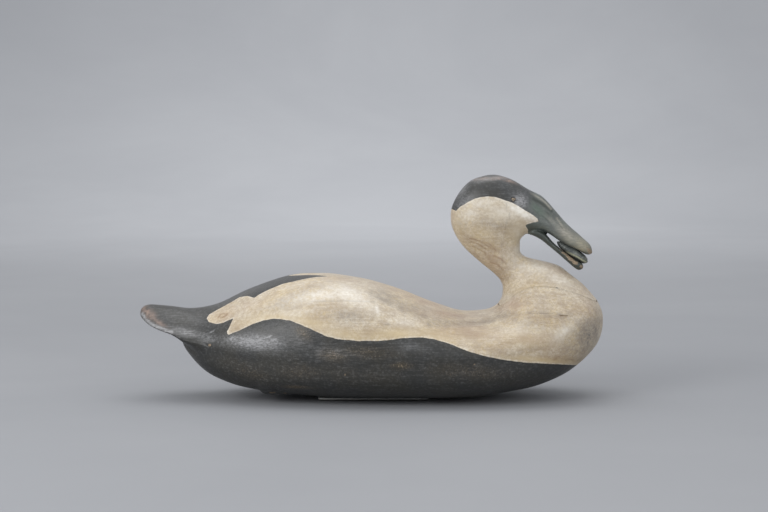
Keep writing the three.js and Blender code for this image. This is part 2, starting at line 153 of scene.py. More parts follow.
def picture_mm(points):
    """Where each point of the bird shows in the picture, in mm from its left and top edges.

    Points of the far side are taken as their mirror image, so both sides get the same carving and paint.
    """
    from_aim = points * 1000 - AIM
    near = -np.abs(from_aim[:, 1])
    cos, sin = math.cos(CAMERA_RISE), math.sin(CAMERA_RISE)
    depth = near * cos - from_aim[:, 2] * sin + CAMERA_DISTANCE
    up = near * sin + from_aim[:, 2] * cos
    across = from_aim[:, 0]
    scale = CAMERA_DISTANCE / depth
    middle = np.array(PICTURE_MIDDLE) * PIXEL
    return np.stack([middle[0] + across * scale, middle[1] - up * scale], axis=1)


def on_picture(pixels):
    """Pixels of the photograph as mm in the picture."""
    return np.array(pixels, float) * PIXEL


def distance_in_mm(points, line):
    """Distance of each point from a line through some corners, all in mm."""
    nearest = np.full(len(points), np.inf)
    for start, end in zip(line[:-1], line[1:]):
        along = end - start
        share = np.clip((points - start) @ along / max(along @ along, NEARLY_ZERO), 0, 1)
        nearest = np.minimum(nearest, np.linalg.norm(points - start - share[:, None] * along, axis=1))
    return nearest


def line_distance(seen, line):
    """Distance in mm of each seen point from a line of pixels."""
    return distance_in_mm(seen, on_picture(line))


def area_distance(seen, outline):
    """Distance in mm of each seen point from an outline of pixels, more than zero inside it."""
    closed = [*outline, outline[0]]
    corners = on_picture(closed)
    inside = np.zeros(len(seen), bool)
    for (x0, y0), (x1, y1) in zip(corners[:-1], corners[1:]):
        if y0 == y1:
            continue
        crosses = (y0 > seen[:, 1]) != (y1 > seen[:, 1])
        inside ^= crosses & (seen[:, 0] < (x1 - x0) * (seen[:, 1] - y0) / (y1 - y0) + x0)
    return np.where(inside, 1, -1) * line_distance(seen, closed)


def bump(distance, reach):
    """1 on the line, falling smoothly to 0 at the reach."""
    return np.clip(1 - (distance / reach) ** 2, 0, 1) ** 2


def fade(value, start, end):
    """0 at the start, rising smoothly to 1 at the end."""
    share = np.clip((value - start) / (end - start), 0, 1)
    return share * share * (3 - 2 * share)


def grooves(seen, lines, reach):
    """1 along some lines of pixels, falling smoothly to 0 at the reach in mm."""
    return np.max([bump(line_distance(seen, line), reach) for line in lines], axis=0)


def patches(seen, spots):
    """Soft oval patches. A spot is its middle and radii in pixels, its turn in degrees and its strength."""
    total = np.zeros(len(seen))
    for x, y, long, short, turn, strength in spots:
        offset = seen - on_picture((x, y))
        cos, sin = math.cos(math.radians(turn)), math.sin(math.radians(turn))
        along = (offset[:, 0] * cos + offset[:, 1] * sin) / (long * PIXEL)
        across = (offset[:, 1] * cos - offset[:, 0] * sin) / (short * PIXEL)
        total = np.maximum(total, strength * np.exp(-(along**2 + across**2)))
    return total


def spots_and_lines(seen, spots, lines):
    """The strength of each kind of mark, of spots and of lines. A line also has its reach in mm."""
    strengths = {kind: patches(seen, where) for kind, where in spots.items()}
    for kind, drawn, strength, reach in lines:
        strengths[kind] = np.maximum(strengths[kind], strength * grooves(seen, drawn, reach))
    return strengths


# Carving helpers

# How often, and by what share of its error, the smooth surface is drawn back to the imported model's corners
CAGE_ROUNDS = 3
CAGE_SHARE = 0.8
# A surface that is seen flatter than this share of its true size counts as this flat
FLATTEST = 0.12
# Where carving starts on a surface that turns towards its own side, and where it is full
CARVING_STARTS, CARVING_FULL = 0.02, 0.25
DIVIDED_FROM = 0.1
# How far the noise is shifted from one seed to the next
SEED_STEPS = (17.3, 5.1, 9.7)
SMOOTH_ANGLE = math.radians(55)
PAIRING_ANGLE = math.radians(50)
SAME_PLACE = 1e-5


def only(piece):
    """Selects this piece alone and makes it the active one."""
    if bpy.context.object and bpy.context.object.mode != "OBJECT":
        bpy.ops.object.mode_set(mode="OBJECT")
    bpy.ops.object.select_all(action="DESELECT")
    piece.select_set(True)
    bpy.context.view_layer.objects.active = piece


def opened(piece):
    """Opens the piece in edit mode with all of it selected."""
    only(piece)
    bpy.ops.object.mode_set(mode="EDIT")
    bpy.ops.mesh.select_all(action="SELECT")


def added(name, data):
    """A new object of the scene."""
    thing = bpy.data.objects.new(name, data)
    bpy.context.scene.collection.objects.link(thing)
    return thing


def copied(node, name):
    """A new object with a merged copy of a CAD node's mesh, its triangles paired into four-sided faces."""
    piece = added(name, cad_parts[node].data.copy())
    piece.data.materials.clear()
    opened(piece)
    bpy.ops.mesh.remove_doubles(threshold=SAME_PLACE)
    bpy.ops.mesh.tris_convert_to_quads(face_threshold=PAIRING_ANGLE, shape_threshold=PAIRING_ANGLE)
    bpy.ops.object.mode_set(mode="OBJECT")
    return piece


def with_modifier(piece, kind, **settings):
    """Adds one modifier and applies it."""
    only(piece)
    modifier = piece.modifiers.new(kind.lower(), kind)
    for name, value in settings.items():
        setattr(modifier, name, value)
    bpy.ops.object.modifier_apply(modifier=modifier.name)


def removed(piece):
    """Deletes a piece and its mesh."""
    mesh = piece.data
    bpy.data.objects.remove(piece)
    bpy.data.meshes.remove(mesh)


def read(mesh, layer):
    """The places or normals of all vertices."""
    values = np.zeros(len(mesh.vertices) * 3, np.float32)
    mesh.vertices.foreach_get(layer, values)
    return values.reshape(-1, 3).astype(float)


def placed(mesh, places):
    """Moves all vertices to new places."""
    mesh.vertices.foreach_set("co", places.astype(np.float32).ravel())
    mesh.update()


def crease_where(piece, *tests):
    """Keeps the edges sharp whose two ends both pass one of the tests."""
    mesh = piece.data
    creases = mesh.attributes.new("crease_edge", "FLOAT", "EDGE")
    passes = [[test(v.co) for v in mesh.vertices] for test in tests]
    sharp = [any(ok[e.vertices[0]] and ok[e.vertices[1]] for ok in passes) for e in mesh.edges]
    creases.data.foreach_set("value", [float(keep) for keep in sharp])


def smoothed(piece):
    """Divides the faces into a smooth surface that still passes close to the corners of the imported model."""
    mesh = piece.data
    corners = read(mesh, "co")
    cage = corners.copy()
    for _ in range(CAGE_ROUNDS):
        trial = added("trial", mesh.copy())
        with_modifier(trial, "SUBSURF", levels=1, render_levels=1)
        cage += CAGE_SHARE * (corners - read(trial.data, "co")[: len(corners)])
        removed(trial)
        placed(mesh, cage)
    with_modifier(piece, "SUBSURF", levels=2, render_levels=2)


def evened(piece, grid, rounds):
    """Gives the piece an even net of small faces that still lies on its own smooth surface."""
    guide = added("guide", piece.data.copy())
    with_modifier(piece, "REMESH", mode="VOXEL", voxel_size=grid, adaptivity=0.0)
    with_modifier(piece, "SMOOTH", factor=0.5, iterations=rounds)
    with_modifier(piece, "SHRINKWRAP", target=guide, wrap_method="NEAREST_SURFACEPOINT")
    with_modifier(piece, "SMOOTH", factor=0.5, iterations=2)
    removed(guide)


def moved(piece, depth):
    """Moves the surface inwards along its normals by depth, given in mm for each vertex."""
    mesh = piece.data
    placed(mesh, read(mesh, "co") - read(mesh, "normal") * depth[:, None] / 1000)


def marked(piece, name, values):
    """Stores one value for each vertex, which the materials read by name."""
    layer = piece.data.attributes.new(name, "FLOAT", "POINT")
    layer.data.foreach_set("value", values.astype(np.float32))


def squareness(piece):
    """The share of its true size that the surface shows in the picture, less than 0 where it faces away."""
    places, normals = read(piece.data, "co"), read(piece.data, "normal")
    outwards = normals[:, 1] * np.sign(places[:, 1] + NEARLY_ZERO)
    return outwards * math.cos(CAMERA_RISE) + normals[:, 2] * math.sin(CAMERA_RISE)


def facing(piece):
    """How squarely each vertex faces its own side, from 0 to 1."""
    return fade(squareness(piece), CARVING_STARTS, CARVING_FULL)


def looked_at(piece):
    """The place of each vertex, where it shows in the picture, and how squarely it faces its own side."""
    places = read(piece.data, "co")
    return places, picture_mm(places), facing(piece)


def paint_edge(piece, seen, outline):
    """Distance in mm over the surface from the edge of the white paint, more than zero inside it."""
    return area_distance(seen, outline) / np.clip(squareness(piece), FLATTEST, 1)


def waves(places, size, seed):
    """Smooth noise between about -1 and 1, with waves of this size in mm, the same on each run."""
    scale = 1000 / size
    shift = Vector([seed * step for step in SEED_STEPS])
    return np.array([noise.noise(Vector(place) * scale + shift) for place in places])


def unevenness(places, mean, *layers):
    """A soft unevenness. Each layer of it is its strength, the size of its waves in mm and its seed."""
    return mean + sum(strength * waves(places, size, seed) for strength, size, seed in layers)


def divided_near(piece, lines, reach, cuts):
    """Divides the faces near some lines of the picture, so that fine carving has enough of them."""
    mesh = piece.data
    _, seen, square = looked_at(piece)
    near = np.min([line_distance(seen, line) for line in lines], axis=0) < reach
    near &= square > DIVIDED_FROM
    only(piece)
    mesh.polygons.foreach_set("select", [any(near[v] for v in face.vertices) for face in mesh.polygons])
    mesh.edges.foreach_set("select", [False] * len(mesh.edges))
    mesh.vertices.foreach_set("select", [False] * len(mesh.vertices))
    bpy.ops.object.mode_set(mode="EDIT")
    bpy.ops.mesh.select_mode(type="FACE")
    bpy.ops.mesh.subdivide(number_cuts=cuts, quadcorner="INNERVERT")
    bpy.ops.mesh.select_all(action="DESELECT")
    bpy.ops.object.mode_set(mode="OBJECT")


def finished(piece, node, material):
    """Smooths the shading, gives the piece its material, and lets it stand for its CAD node."""
    only(piece)
    bpy.ops.object.shade_smooth_by_angle(angle=SMOOTH_ANGLE)
    piece.data.materials.clear()
    piece.data.materials.append(material)
    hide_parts(node)
    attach(piece, "root")
    bpy.ops.object.select_all(action="DESELECT")


# Shader helpers


class Nodes:
    """Adds nodes to a tree and links them, so that a material reads from its pattern to its shader."""

    def __init__(self, tree):
        self.tree = tree

    def add(self, kind, inputs=None, **settings):
        node = self.tree.nodes.new(kind)
        for name, value in settings.items():
            setattr(node, name, value)
        for name, value in (inputs or {}).items():
            self.feed(node.inputs[name], value)
        return node

    def feed(self, socket, value):
        if isinstance(value, bpy.types.NodeSocket):
            self.tree.links.new(value, socket)
        elif socket.type == "RGBA" and len(value) == 3:
            socket.default_value = (*value, 1)
        else:
            socket.default_value = value

    def math(self, operation, first, second=0.0):
        node = self.add("ShaderNodeMath", operation=operation)
        self.feed(node.inputs[0], first)
        self.feed(node.inputs[1], second)
        return node.outputs[0]

    def times(self, first, second):
        return self.math("MULTIPLY", first, second)

    def plus(self, first, second):
        return self.math("ADD", first, second)

    def minus(self, first, second):
        return self.math("SUBTRACT", first, second)

    def per_metre(self, size):
        """How many times a size in mm goes into a metre."""
        return self.math("DIVIDE", 1000.0, size)

    def weighed(self, *parts):
        """The sum of some values, each given with its weight."""
        total = 0.0
        for value, weight in parts:
            total = self.plus(total, self.times(value, weight))
        return total

    def mix(self, share, first, second):
        node = self.add("ShaderNodeMix", data_type="RGBA")
        for index, value in ((0, share), (6, first), (7, second)):
            self.feed(node.inputs[index], value)
        return node.outputs[2]

    def layered(self, paint, *layers):
        """Lays tints over the paint, one after the other. Each layer is its mask, its share and its tint."""
        for mask, share, tint in layers:
            paint = self.mix(self.times(mask, share), paint, tint)
        return paint

    def blend(self, share, first, second):
        node = self.add("ShaderNodeMix", data_type="FLOAT")
        for index, value in ((0, share), (2, first), (3, second)):
            self.feed(node.inputs[index], value)
        return node.outputs[0]

    def step(self, value, start, end, low=0.0, high=1.0):
        node = self.add("ShaderNodeMapRange", interpolation_type="SMOOTHSTEP")
        for index, number in enumerate((value, start, end, low, high)):
            self.feed(node.inputs[index], number)
        return node.outputs[0]

    def scaled(self, vector, factor):
        node = self.add("ShaderNodeVectorMath", operation="MULTIPLY")
        self.feed(node.inputs[0], vector)
        self.feed(node.inputs[1], factor)
        return node.outputs[0]

    def noise(self, vector, scale, detail=2.0, roughness=0.5, distortion=0.0):
        names = ("Vector", "Scale", "Detail", "Roughness", "Distortion")
        inputs = dict(zip(names, (vector, scale, detail, roughness, distortion)))
        return self.add("ShaderNodeTexNoise", inputs).outputs[0]

    def mark(self, name):
        return self.add("ShaderNodeAttribute", attribute_name=name).outputs["Fac"]


# The noise texture's values lie between these two nearly everywhere
NOISE_LOW, NOISE_HIGH = 0.28, 0.72


def new_group(kind, **numbers):
    """A shader node group that takes a place and some numbers, and gives a mask."""
    tree = bpy.data.node_groups.new("decoy_" + kind, "ShaderNodeTree")
    tree.interface.new_socket("Vector", in_out="INPUT", socket_type="NodeSocketVector")
    for name, default in numbers.items():
        socket = tree.interface.new_socket(name.capitalize(), in_out="INPUT", socket_type="NodeSocketFloat")
        socket.default_value = default
    tree.interface.new_socket("Mask", in_out="OUTPUT", socket_type="NodeSocketFloat")
    nodes = Nodes(tree)
    return nodes, nodes.add("NodeGroupInput").outputs, nodes.add("NodeGroupOutput").inputs["Mask"]


def fibre_group():
    """Long thin streaks, as of wood fibre or a dry brush."""
    nodes, given, mask = new_group("fibres", width=1.5, length=40.0)
    across, along = nodes.per_metre(given["Width"]), nodes.per_metre(given["Length"])
    stretch = nodes.add("ShaderNodeCombineXYZ", {"X": along, "Y": across, "Z": across}).outputs[0]
    streaks = nodes.noise(nodes.scaled(given["Vector"], stretch), 1.0, 4.0, 0.6, 0.4)
    nodes.feed(mask, nodes.step(streaks, 0.36, 0.68))
    return nodes.tree


def blotch_group():
    """Soft cloudy patches of a size, covering a share of the surface."""
    nodes, given, mask = new_group("blotches", size=30.0, coverage=0.5, softness=0.2)
    cloud = nodes.noise(given["Vector"], nodes.per_metre(given["Size"]), 5.0, 0.58, 0.3)
    middle = nodes.minus(NOISE_HIGH, nodes.times(given["Coverage"], NOISE_HIGH - NOISE_LOW))
    low, high = nodes.minus(middle, given["Softness"]), nodes.plus(middle, given["Softness"])
    nodes.feed(mask, nodes.step(cloud, low, high))
    return nodes.tree


def fleck_group():
    """Small scattered chips, each of its own size."""
    nodes, given, mask = new_group("flecks", spacing=8.0, share=0.3, size=0.2)
    ragged = 0.25
    scale = nodes.per_metre(given["Spacing"])
    wander = nodes.noise(given["Vector"], nodes.times(scale, 3.0), 2.0)
    inputs = {"Vector": nodes.scaled(given["Vector"], (0.6, 1, 1)), "Scale": scale}
    cells = nodes.add("ShaderNodeTexVoronoi", inputs).outputs
    chosen = nodes.add("ShaderNodeSeparateColor", {"Color": cells["Color"]}).outputs[0]
    shrunk = nodes.times(given["Size"], nodes.step(chosen, 0.0, given["Share"], 1.0, 0.0))
    distance = nodes.plus(cells["Distance"], nodes.times(wander, ragged))
    edge = nodes.minus(nodes.plus(shrunk, ragged / 2), distance)
    nodes.feed(mask, nodes.step(edge, 0.0, 0.04))
    return nodes.tree


def edge_group():
    """A painted edge: a distance in mm becomes a mask whose edge wanders as a hand-held brush does."""
    nodes, given, mask = new_group("edge", distance=0.0, wander=0.8, softness=0.4)
    slow = nodes.minus(nodes.noise(given["Vector"], 140.0, 3.0, 0.6), 0.5)
    shifted = nodes.plus(given["Distance"], nodes.times(slow, nodes.times(given["Wander"], 2.0)))
    nodes.feed(mask, nodes.step(shifted, nodes.times(given["Softness"], -1.0), given["Softness"]))
    return nodes.tree


def crackle_group():
    """Fine cracks in old paint, between cells that lie along the grain."""
    nodes, given, mask = new_group("crackle", size=5.0, width=0.04)
    place, scale = given["Vector"], nodes.per_metre(given["Size"])
    inputs = {"Vector": place, "Scale": scale, "Detail": 2.0}
    wander = nodes.add("ShaderNodeTexNoise", inputs).outputs["Color"]
    bent = nodes.add("ShaderNodeVectorMath", operation="MULTIPLY_ADD")
    for index, value in enumerate((wander, (0.002, 0.002, 0.002), nodes.scaled(place, (0.45, 1, 1)))):
        nodes.feed(bent.inputs[index], value)
    inputs = {"Vector": bent.outputs[0], "Scale": scale}
    cells = nodes.add("ShaderNodeTexVoronoi", inputs, feature="DISTANCE_TO_EDGE").outputs["Distance"]
    nodes.feed(mask, nodes.step(cells, given["Width"], 0.0))
    return nodes.tree


GROUPS = {
    "fibres": fibre_group,
    "blotches": blotch_group,
    "flecks": fleck_group,
    "edge": edge_group,
    "crackle": crackle_group,
}


def shared_group(kind):
    """The node group of this kind, made the first time that it is asked for."""
    return bpy.data.node_groups.get("decoy_" + kind) or GROUPS[kind]()


class Surface(Nodes):
    """The tree of one material, with its object coordinates and its shader."""

    def __init__(self, name):
        self.material = bpy.data.materials.new(name)
        self.material.use_nodes = True
        super().__init__(self.material.node_tree)
        self.shader = next(n for n in self.tree.nodes if n.type == "BSDF_PRINCIPLED")
        self.place = self.add("ShaderNodeTexCoord").outputs["Object"]

    def effect(self, kind, **inputs):
        """The mask of a shared group, with its numbers."""
        inputs = {"Vector": self.place, **{name.capitalize(): value for name, value in inputs.items()}}
        return self.add("ShaderNodeGroup", inputs, node_tree=shared_group(kind)).outputs["Mask"]

    def clouds(self, size, softness, coverage=0.5):
        """Cloudy patches of this size in mm, over this share of the surface."""
        return self.effect("blotches", size=size, coverage=coverage, softness=softness)

    def streaks(self, width, length):
        """Thin streaks of this width and length in mm."""
        return self.effect("fibres", width=width, length=length)

    def finish(self, base, roughness, height, depth, metal=0.0):
        """Feeds the shader. Depth is how many mm a height of 1 stands up."""
        relief = self.add("ShaderNodeBump", {"Height": height, "Strength": 1.0, "Distance": depth / 1000})
        self.feed(self.shader.inputs["Base Color"], base)
        self.feed(self.shader.inputs["Roughness"], roughness)
        self.feed(self.shader.inputs["Normal"], relief.outputs[0])
        self.shader.inputs["Metallic"].default_value = metal
        return self.material


def old_white(surface, colours):
    """Aged white paint: cream, yellowed in clouds, mottled, and dirtied along the brush strokes, with marked
    spots of stain and wear, of painted shade and of painted highlight laid over it.
    """
    small = surface.clouds(10.0, 0.16)
    fine = surface.clouds(3.2, 0.14)
    fibres = surface.streaks(1.9, 24.0)
    flecks = surface.effect("flecks", spacing=15.0, share=0.12, size=0.08)
    paint = surface.layered(
        surface.mix(surface.clouds(46.0, 0.16), colours.white_paint, colours.yellowed),
        (small, 0.5, colours.handling_dirt),
        (fine, 0.42, colours.thick_white_and_highlight),
        (surface.clouds(1.6, 0.1, coverage=0.36), 0.46, colours.brown_stain),
        (fibres, 0.3, colours.brown_stain),
        (surface.streaks(3.4, 52.0), surface.blend(0.6, 0.24, small), colours.handling_dirt),
        (surface.effect("crackle", size=7.0, width=0.03), 0.16, colours.brown_stain),
    )
    uneven = surface.times(surface.blend(0.5, small, fine), surface.blend(0.4, 1.0, fibres))
    uneven = surface.plus(0.5, uneven)
    # Marked spots: stains and wear, grime with painted shade in the grey ones, and mostly painted highlight in
    # the pale ones
    for name, strength, tint in (
        ("cream", 0.9, colours.yellowed),
        ("brown", 0.8, colours.brown_stain),
        ("grey", 0.8, colours.grime_and_painted_shade),
        ("warm", 0.75, colours.warm_wear),
        ("pale", 0.8, colours.thick_white_and_highlight),
    ):
        paint = surface.layered(paint, (surface.mark(name), surface.times(uneven, strength), tint))
    paint = surface.layered(paint, (flecks, 0.6, colours.dark_fleck_and_shade))
    return paint, fibres, fine, flecks


def old_black(surface, colours, tint):
    """Aged black paint: grey-black with brown showing through in clouds, with dust and a painted sheen where
    it is marked.
    """
    fine = surface.clouds(3.0, 0.14, coverage=0.4)
    fibres = surface.streaks(1.3, 18.0)
    chips = surface.effect("flecks", spacing=21.0, share=0.14, size=0.07)
    strokes = surface.plus(fibres, surface.times(fine, 0.5))
    rust, specks = surface.mark("rust"), surface.clouds(1.5, 0.06, coverage=0.3)
    paint = surface.layered(
        tint,
        (surface.clouds(34.0, 0.16), 0.6, colours.black_worn_brown),
        (rust, surface.plus(0.3, fibres), colours.rust_brown),
        (surface.mark("tip_wear"), surface.plus(0.3, surface.clouds(8.0, 0.18)), colours.tip_wear),
        (specks, surface.times(rust, 0.6), colours.bare_wood),
        (surface.times(fine, fibres), 0.2, colours.black_dust_and_sheen),
        # Dust, and a painted sheen where the black catches the light
        (surface.mark("dusty"), surface.blend(0.75, 1.0, strokes), colours.black_dust_and_sheen),
        (chips, 0.6, colours.bare_wood),
    )
    return paint, fibres, chips


def bare_wood(surface, colours):
    return surface.mix(surface.streaks(0.9, 14.0), colours.bare_wood, colours.bare_wood_dark)


def painted_wood(surface, colours, dark, marks, wander, ragged_size):
    """White paint over dark paint, both worn to bare wood in places.

    Marks are the scratches and chips of the dark paint.
    """
    cream, fibres, fine, flecks = old_white(surface, colours)
    scratches, chips = marks
    from_edge = surface.mark("white_edge")
    white = surface.effect("edge", distance=from_edge, wander=wander, softness=0.35)
    rim = surface.times(surface.step(from_edge, 2.4, 0.2), surface.blend(0.75, 0.4, fine))
    cream = surface.layered(cream, (rim, 0.5, colours.thick_white_and_highlight))
    ragged = surface.clouds(ragged_size, 0.1)
    worn = surface.step(surface.plus(surface.mark("bare"), surface.times(ragged, 0.45)), 0.6, 0.95)
    paint = surface.mix(worn, surface.mix(white, dark, cream), bare_wood(surface, colours))
    paint = surface.layered(paint, (surface.mark("seam"), 0.22, colours.dark_fleck_and_shade))
    strokes = surface.blend(white, scratches, fine)
    roughness = surface.plus(surface.blend(white, 0.36, 0.4), surface.times(strokes, 0.12))
    roughness = surface.blend(worn, roughness, 0.7)
    broken = surface.blend(white, chips, flecks)
    height = surface.weighed((fibres, 0.35), (white, 0.5), (fine, 0.3), (broken, -1.1), (worn, -0.6))
    return paint, roughness, height


def body_material(colours):
    surface = Surface("painted_body")
    black, *marks = old_black(surface, colours, colours.black_paint)
    paint, roughness, height = painted_wood(surface, colours, black, marks, wander=0.9, ragged_size=7.0)
    return surface.finish(paint, roughness, height, depth=0.15)


def head_material(colours):
    surface = Surface("painted_head")
    cap, *marks = old_black(surface, colours, colours.cap_paint)
    worn = surface.blend(surface.streaks(1.1, 9.0), 0.6, 1.2)
    bill = surface.layered(
        surface.mix(surface.clouds(9.0, 0.2), colours.bill_paint, colours.bill_pale),
        (marks[0], 0.3, colours.bill_dark),
        (surface.mark("bill_green"), 1.0, colours.bill_green),
        (surface.mark("bill_tip"), worn, colours.bill_tip),
        (surface.mark("bill_dark"), 1.0, colours.bill_dark),
        (surface.mark("bill_light"), worn, colours.bill_light),
    )
    dark = surface.mix(surface.mark("bill"), cap, bill)
    paint, roughness, height = painted_wood(surface, colours, dark, marks, wander=0.7, ragged_size=4.5)
    paint = surface.mix(surface.mark("eye_dark"), paint, colours.dark_fleck_and_shade)
    return surface.finish(paint, roughness, height, depth=0.13)


def mussel_material(colours):
    surface = Surface("painted_mussel")
    clouds = surface.clouds(9.0, 0.2)
    rings = surface.streaks(0.8, 6.0)
    ragged = surface.clouds(3.0, 0.2, coverage=0.7)
    paint = surface.layered(
        surface.mix(clouds, colours.shell_paint, colours.shell_blue),
        (surface.mark("below"), 0.7, colours.shell_under),
        (surface.mark("tip"), 0.6, colours.shell_olive),
        (rings, 0.15, colours.shell_olive),
        (surface.mark("lip"), surface.blend(0.4, 1.0, ragged), colours.shell_lip),
    )
    return surface.finish(paint, 0.3, surface.weighed((rings, 0.5), (clouds, 0.3)), depth=0.1)


# Heights between which the foot of the ballast plate is painted darker towards the floor: a painted contact
# shadow
CONTACT_SHADE_HEIGHTS = (0.0019, 0.0008)


def lead_material(colours):
    surface = Surface("old_lead")
    clouds = surface.clouds(14.0, 0.2)
    dents = surface.effect("flecks", spacing=7.0, share=0.4, size=0.2)
    above_floor = surface.add("ShaderNodeSeparateXYZ", {"Vector": surface.place}).outputs["Z"]
    paint = surface.layered(
        surface.mix(clouds, colours.lead, colours.lead_oxide),
        (surface.streaks(0.7, 22.0), 0.35, colours.lead_bright),
        # Painted contact shadow along the foot of the plate
        (surface.step(above_floor, *CONTACT_SHADE_HEIGHTS), 1.0, colours.dark_fleck_and_shade),
    )
    height = surface.weighed((clouds, 0.6), (dents, -1.0))
    return surface.finish(paint, surface.blend(clouds, 0.45, 0.62), height, depth=0.2, metal=0.1)


def backdrop_material(colours):
    surface = Surface("paper_backdrop")
    white = (1.0, 1.0, 1.0)
    paper = surface.layered(colours.backdrop, (surface.clouds(900.0, 0.3), 0.06, white))
    return surface.finish(paper, 0.85, surface.clouds(2.0, 0.2), depth=0.01)


# What a user would change


class DecoyColours(bpy.types.PropertyGroup):
    """Colours of the paint, the wood, the shell and the lead."""

    white_paint: colour("White paint", "Aged white of the back, breast, neck and cheeks", (208, 197, 175))
    yellowed: colour("Yellowed white", "White paint that has yellowed in clouds", (202, 183, 145))
    # Also the colour of the painted highlights on the wing, the breast, the cheek, the neck and the throat
    thick_white_and_highlight: colour("Thick white", "White paint where it is thick, or rubbed clean", (238, 233, 222))
    handling_dirt: colour("Handling dirt", "Dirt rubbed into the white by handling", (172, 157, 137))
    brown_stain: colour("Brown stain", "Brown stains and cracks in the white", (142, 118, 90))
    # Also the painted shade along the creases and folds and at the breast's turning edge
    grime_and_painted_shade: colour("Grey grime", "Grey grime in the hollows", (122, 115, 108))
    warm_wear: colour("Warm wear", "Reddish wood showing faintly through the white", (168, 141, 120))
    # Also the painted contact shadow along the foot of the ballast plate
    dark_fleck_and_shade: colour("Dark fleck", "Chips and open cracks", (56, 50, 44))
    black_paint: colour("Black paint", "Black of the flanks, rump and tail", (46, 47, 46))
    black_worn_brown: colour("Worn black", "Black paint worn thin over brown wood", (53, 51, 44))
    # Dust and scratches in the black, and also the painted sheen on the rump, tail and flanks and the painted
    # highlight on the cap and crown
    black_dust_and_sheen: colour("Dusty black", "Dust and fine scratches in the black", (148, 148, 149))
    rust_brown: colour("Brown showing", "Brown wood showing through thin black paint", (88, 76, 56))
    # Also the colour of the painted highlight band along the crown
    tip_wear: colour("Worn tip", "Reddish wood through the black at the tail's tip", (138, 118, 106))
    cap_paint: colour("Cap paint", "Black of the cap", (60, 62, 63))
    bill_paint: colour("Bill paint", "Grey of the bill", (88, 92, 90))
    bill_pale: colour("Pale bill", "Bill paint rubbed pale", (110, 115, 110))
    bill_green: colour("Green of the bill", "Grey-green beside the bill's lobes", (86, 102, 90))
    bill_tip: colour("Tip of the bill", "Olive and tan towards the tip", (156, 149, 126))
    # Also painted shade in the hollow beside the bill's lobe and at the corner of the mouth
    bill_dark: colour("Dark bill", "Hollows, and the lower half of the bill", (50, 56, 50))
    # Worn streaks, and also a painted sheen along the middle of the bill
    bill_light: colour("Worn bill", "Light worn streaks on the bill", (168, 163, 150))
    bare_wood: colour("Bare wood", "Old bare wood at worn edges", (164, 147, 124))
    bare_wood_dark: colour("Dark bare wood", "Dark grain of the bare wood", (112, 94, 76))
    shell_paint: colour("Shell paint", "Blue-black of the mussel", (72, 76, 76))
    shell_blue: colour("Shell blue", "Lighter clouds on the mussel", (120, 124, 118))
    shell_under: colour("Under the shell", "Underside of the mussel", (34, 34, 32))
    shell_olive: colour("Shell olive", "Olive growth near the mussel's lip", (98, 98, 84))
    shell_lip: colour("Shell lip", "Pale line where the halves of the shell meet", (168, 168, 142))
    lead: colour("Lead", "Ballast plate", (190, 192, 188))
    lead_oxide: colour("Lead oxide", "Whitish bloom on the lead", (206, 207, 203))
    lead_bright: colour("Bright lead", "Scratches in the lead", (222, 223, 220))
    backdrop: colour("Backdrop", "Seamless paper under and behind the decoy", (147, 149, 153))


class DecoySizes(bpy.types.PropertyGroup):
    """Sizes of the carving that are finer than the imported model."""

    body_grid: amount("Body face size", "Size of the faces of the carved body", 0.0019, "LENGTH")
    head_grid: amount("Head face size", "Size of the faces of the carved head", 0.0009, "LENGTH")
    joint_gap: amount("Joint gap", "Gap round the let-in neck", 0.0003, "LENGTH")
    tool_marks: amount("Tool marks", "Depth of the soft unevenness that the drawknife left", 0.0004, "LENGTH")
    valley_depth: amount("Valley crease", "Depth of the crease beside the saddle", 0.0009, "LENGTH")
    check_depth: amount("Check depth", "Depth of the drying check in the breast", 0.0004, "LENGTH")
    eye_width: amount("Eye width", "Width of the carved eye", 0.0046, "LENGTH")
    eye_depth: amount("Eye depth", "Depth of the ring round the eye", 0.0007, "LENGTH")
    plate_bevel: amount("Plate bevel", "Rounding of the ballast plate's edges", 0.0007, "LENGTH")


class DecoyStage(bpy.types.PropertyGroup):
    """The camera, lights and backdrop that the decoy is shown with."""

    key_power: amount("Overhead light", "Power of the large overhead light", 10.5, "POWER")
    front_power: amount("Front light", "Power of the soft front light", 27, "POWER")
    fill_power: amount("Fill light", "Power of the weaker light from the other side", 8.5, "POWER")
    wall_power: amount("Backdrop light", "Power of the light on the backdrop", 25, "POWER")
    ambient: amount("Ambient light", "Strength of the light from all round", 0.75)
    rise_steps: IntProperty(
        name="Rise steps", description="Steps in the curve from floor to backdrop", default=24, min=3
    )


# The let-in foot of the neck and its mortise

# Seen from above the mortise is an oblong with round corners. A squareness of 2 would make it an oval.
MORTISE_MIDDLE = 0.193
MORTISE_HALF_LENGTH = 0.054
MORTISE_HALF_WIDTH = 0.035
MORTISE_SQUARENESS = 3
MORTISE_FLOOR = 0.092
MORTISE_TOP = 0.17
FOOT_INSET = 0.0009
STUB_TOP = 0.135
SEAM_LOWEST = 0.096
SEAM_BAND = (0.93, 1.04)
SEAM_REACH = 1.1
FOOT_EDGE = 1.02
FOOT_ROUNDING = 0.0006


def mortise_measure(x, y):
    """1 on the outline of the mortise, less inside it."""
    power = MORTISE_SQUARENESS
    return (abs(x - MORTISE_MIDDLE) / MORTISE_HALF_LENGTH) ** power + (abs(y) / MORTISE_HALF_WIDTH) ** power


def on_seam(co):
    """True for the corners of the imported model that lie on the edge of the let-in foot or its mortise."""
    return co.z > SEAM_LOWEST and SEAM_BAND[0] < mortise_measure(co.x, co.y) < SEAM_BAND[1]


def under_foot(co):
    """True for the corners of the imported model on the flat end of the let-in foot."""
    return co.z < MORTISE_FLOOR + FOOT_ROUNDING and mortise_measure(co.x, co.y) < FOOT_EDGE


def smooth_neck(name):
    neck = copied("head_and_neck", name)
    crease_where(neck, on_seam, under_foot)
    smoothed(neck)
    return neck


